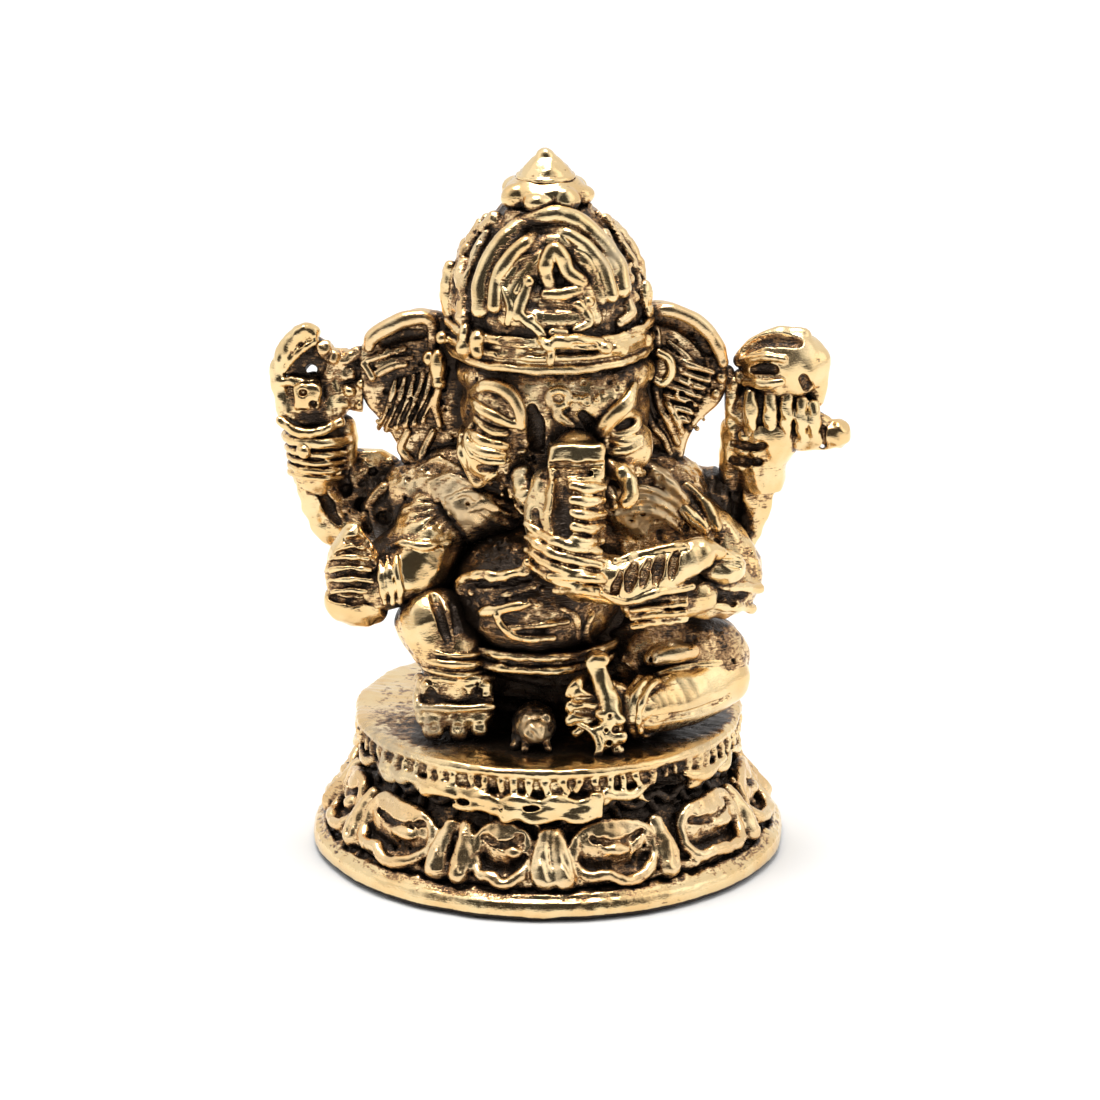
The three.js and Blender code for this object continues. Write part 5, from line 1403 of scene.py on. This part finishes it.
def noise(tree, place, per_mm, detail=4.0, roughness=0.55):
    made = node(tree, "ShaderNodeTexNoise")
    tree.links.new(place, made.inputs["Vector"])
    made.inputs["Scale"].default_value = per_mm / MM
    made.inputs["Detail"].default_value = detail
    made.inputs["Roughness"].default_value = roughness
    return made.outputs["Fac"]


AS_CAST = (0.52, 0.42, 0.28)
BROWN = (0.36, 0.205, 0.1)
BLACK = (0.045, 0.03, 0.02)
DEEPER = (0.94, 0.84, 0.72)  # what the bright colour is multiplied by in its redder patches


def brass(name, bright, shadow_start, base_rough):
    """Cast brass: polished where it stands out, brown and black in the hollows and in patches of painted
    shade, dull where left as cast.
    """
    material = bpy.data.materials.new(name)
    material.use_nodes = True
    tree = material.node_tree
    shader = tree.nodes["Principled BSDF"]
    place = node(tree, "ShaderNodeTexCoord").outputs["Object"]
    # the attribute holds patina in the hollows plus painted shade and painted highlights at some spots
    patina_and_painted_light = node(tree, "ShaderNodeAttribute", attribute_name="patina_and_painted_light").outputs["Fac"]
    matte = node(tree, "ShaderNodeAttribute", attribute_name="matte").outputs["Fac"]
    broad = noise(tree, place, 0.55)
    middle = noise(tree, place, 2.2, 5.0, 0.6)
    fine = noise(tree, place, 9.0, 3.0, 0.6)
    flattened = node(tree, "ShaderNodeVectorMath", operation="MULTIPLY")
    tree.links.new(place, flattened.inputs[0])
    flattened.inputs[1].default_value = (0.7, 0.7, 2.6)
    streaks = noise(tree, flattened.outputs[0], 3.0, 3.0, 0.5)
    streaks = number(tree, "ABSOLUTE", number(tree, "SUBTRACT", streaks, 0.5))

    uneven = number(tree, "MULTIPLY_ADD", number(tree, "SUBTRACT", broad, 0.5), 0.4,
        number(tree, "MULTIPLY", number(tree, "SUBTRACT", middle, 0.5), 1.2))
    uneven = number(tree, "MULTIPLY_ADD", number(tree, "SUBTRACT", fine, 0.5), 0.6, uneven)
    uneven = number(tree, "MULTIPLY_ADD", number(tree, "SUBTRACT", streaks, 0.07), 1.6, uneven)
    # patina, painted shade and painted highlights, with an uneven tone on top
    patina_and_shade_level = number(tree, "ADD", patina_and_painted_light, uneven)
    brown = step_between(tree, patina_and_shade_level, shadow_start - 0.1, shadow_start + 0.15)
    black = step_between(tree, patina_and_shade_level, shadow_start + 0.1, shadow_start + 0.42)
    dull = number(tree, "MULTIPLY", matte, step_between(tree, middle, 0.3, 0.6), clamp=True)

    gold = mixed(tree, step_between(tree, broad, 0.35, 0.65), bright,
        tuple(c * less for c, less in zip(bright, DEEPER)))
    gold = mixed(tree, dull, gold, AS_CAST)
    colour = mixed(tree, brown, gold, BROWN)
    colour = mixed(tree, black, colour, BLACK)
    tree.links.new(colour, shader.inputs["Base Color"])

    rough = number(tree, "MULTIPLY_ADD", fine, 0.16, base_rough - 0.06)
    rough = number(tree, "MULTIPLY_ADD", dull, 0.28, rough)
    rough = number(tree, "MULTIPLY_ADD", brown, 0.05, rough, clamp=True)
    tree.links.new(rough, shader.inputs["Roughness"])
    metal = number(tree, "MULTIPLY_ADD", black, -0.3, number(tree, "MULTIPLY_ADD", dull, -0.4, 1.0),
        clamp=True)
    tree.links.new(metal, shader.inputs["Metallic"])

    height = number(tree, "MULTIPLY_ADD", middle, 0.6, number(tree, "MULTIPLY", fine, 0.35))
    height = number(tree, "MULTIPLY_ADD", streaks, -1.2, height)
    bump = node(tree, "ShaderNodeBump")
    tree.links.new(number(tree, "MULTIPLY_ADD", brown, 0.6, 0.13, clamp=True), bump.inputs["Strength"])
    bump.inputs["Distance"].default_value = 0.12 * MM
    tree.links.new(height, bump.inputs["Height"])
    tree.links.new(bump.outputs["Normal"], shader.inputs["Normal"])
    return material


def paper():
    material = bpy.data.materials.new("white_ground")
    material.use_nodes = True
    tree = material.node_tree
    shader = tree.nodes["Principled BSDF"]
    place = node(tree, "ShaderNodeTexCoord").outputs["Object"]
    colour = mixed(tree, noise(tree, place, 0.15), (0.93, 0.93, 0.925), (0.95, 0.95, 0.945))
    tree.links.new(colour, shader.inputs["Base Color"])
    shader.inputs["Roughness"].default_value = 0.75
    return material


# ---------------------------------------------------------------- objects
def mesh_object(name, points, faces, material):
    mesh = bpy.data.meshes.new(name)
    count = len(faces)
    mesh.vertices.add(len(points))
    mesh.vertices.foreach_set("co", np.ascontiguousarray(points * MM + FOOT, np.float32).ravel())
    mesh.loops.add(count * 4)
    mesh.loops.foreach_set("vertex_index", faces.astype(np.int32).ravel())
    mesh.polygons.add(count)
    mesh.polygons.foreach_set("loop_start", np.arange(0, count * 4, 4, dtype=np.int32))
    mesh.update(calc_edges=True)
    mesh.shade_smooth()
    mesh.materials.append(material)
    made = bpy.data.objects.new(name, mesh)
    bpy.context.scene.collection.objects.link(made)
    return made


def cast_piece(name, whole, looks):
    points, faces = mesh_of(BUILT[name])
    normals = normals_of(points, faces)
    _, slot_name, _, _, dark = PIECES[name]
    made = mesh_object(name + "_cast", points, faces, looks[slot_name])
    patina_and_painted_light = HOLLOW_SHARE * hollow_of(whole, points,
        normals) - RIDGE_SHARE * whole.height(points) + PATINA_BASE
    # besides uneven patina, the spots add painted shade and painted highlights at some places
    patina_and_painted_light = patina_and_painted_light + dark + spots_at(points, PATINA_AND_PAINTED_LIGHT_SPOTS)
    matte = spots_at(points, MATTE_SPOTS)
    for label, values in (("patina_and_painted_light", patina_and_painted_light), ("matte", matte)):
        made.data.attributes.new(label, "FLOAT", "POINT").data.foreach_set("value",
            values.astype(np.float32))
    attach(made, "root")
    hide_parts(name)
    return made


def ground():
    corners = [FOOT + [x, y, 0] for x, y in ((-6, -6), (6, -6), (6, 6), (-6, 6))]
    mesh = bpy.data.meshes.new("ground")
    mesh.from_pydata(corners, [], [(0, 1, 2, 3)])
    mesh.materials.append(paper())
    made = bpy.data.objects.new("ground", mesh)
    bpy.context.scene.collection.objects.link(made)


def lamp(name, place, aim, size, power):
    light = bpy.data.lights.new(name, "AREA")
    light.shape = "RECTANGLE"
    light.size, light.size_y = size
    light.energy = power
    made = bpy.data.objects.new(name, light)
    bpy.context.scene.collection.objects.link(made)
    made.location = FOOT + place
    made.rotation_euler = (Vector(aim) - Vector(place)).to_track_quat("-Z", "Y").to_euler()


TENT_OPENING = (0.0, -0.94, 0.34)  # the way to the middle of the tent's dark opening


def studio():
    """A white tent, open and dark on the camera's side."""
    middle = (0, 0, 0.015)
    lamp("top_softbox", (-0.02, 0.0, 0.5), middle, (0.25, 0.25), 1.6)
    lamp("left_softbox", (-0.35, -0.1, 0.45), middle, (0.6, 0.6), 0.25)
    lamp("right_softbox", (0.4, -0.2, 0.35), middle, (0.5, 0.5), 0.45)
    world = bpy.data.worlds.new("tent")
    bpy.context.scene.world = world
    world.use_nodes = True
    tree = world.node_tree
    way = node(tree, "ShaderNodeTexCoord").outputs["Generated"]
    front = node(tree, "ShaderNodeVectorMath", operation="DOT_PRODUCT")
    tree.links.new(way, front.inputs[0])
    front.inputs[1].default_value = TENT_OPENING
    shade = node(tree, "ShaderNodeMapRange", interpolation_type="SMOOTHSTEP")
    tree.links.new(front.outputs["Value"], shade.inputs["Value"])
    shade.inputs["From Min"].default_value = 0.38
    shade.inputs["From Max"].default_value = 0.8
    shade.inputs["To Min"].default_value = 0.95
    shade.inputs["To Max"].default_value = 0.05
    tree.links.new(shade.outputs["Result"], tree.nodes["Background"].inputs["Strength"])
    tree.nodes["Background"].inputs["Color"].default_value = (1, 1, 1, 1)
    settings = bpy.context.scene.view_settings
    settings.view_transform = "Standard"
    settings.look = "None"


def camera():
    data = bpy.data.cameras.new("camera")
    data.sensor_width = 36
    data.lens = CAMERA_LENS
    data.clip_start = 0.01
    made = bpy.data.objects.new("camera", data)
    bpy.context.scene.collection.objects.link(made)
    made.location = EYE * MM + FOOT
    made.rotation_euler = (math.radians(CAMERA_TILT), 0, 0)
    bpy.context.scene.camera = made


sculpt_all()
statuette = Whole()
statuette.soften(PATINA_REACH)
looks = {
    "polished_brass": brass("polished_brass", (0.88, 0.67, 0.37), 0.36, 0.16),
    "antiqued_brass": brass("antiqued_brass", (0.85, 0.64, 0.37), 0.28, 0.22),
}
for piece_name in PIECES:
    cast_piece(piece_name, statuette, looks)
ground()
studio()
camera()
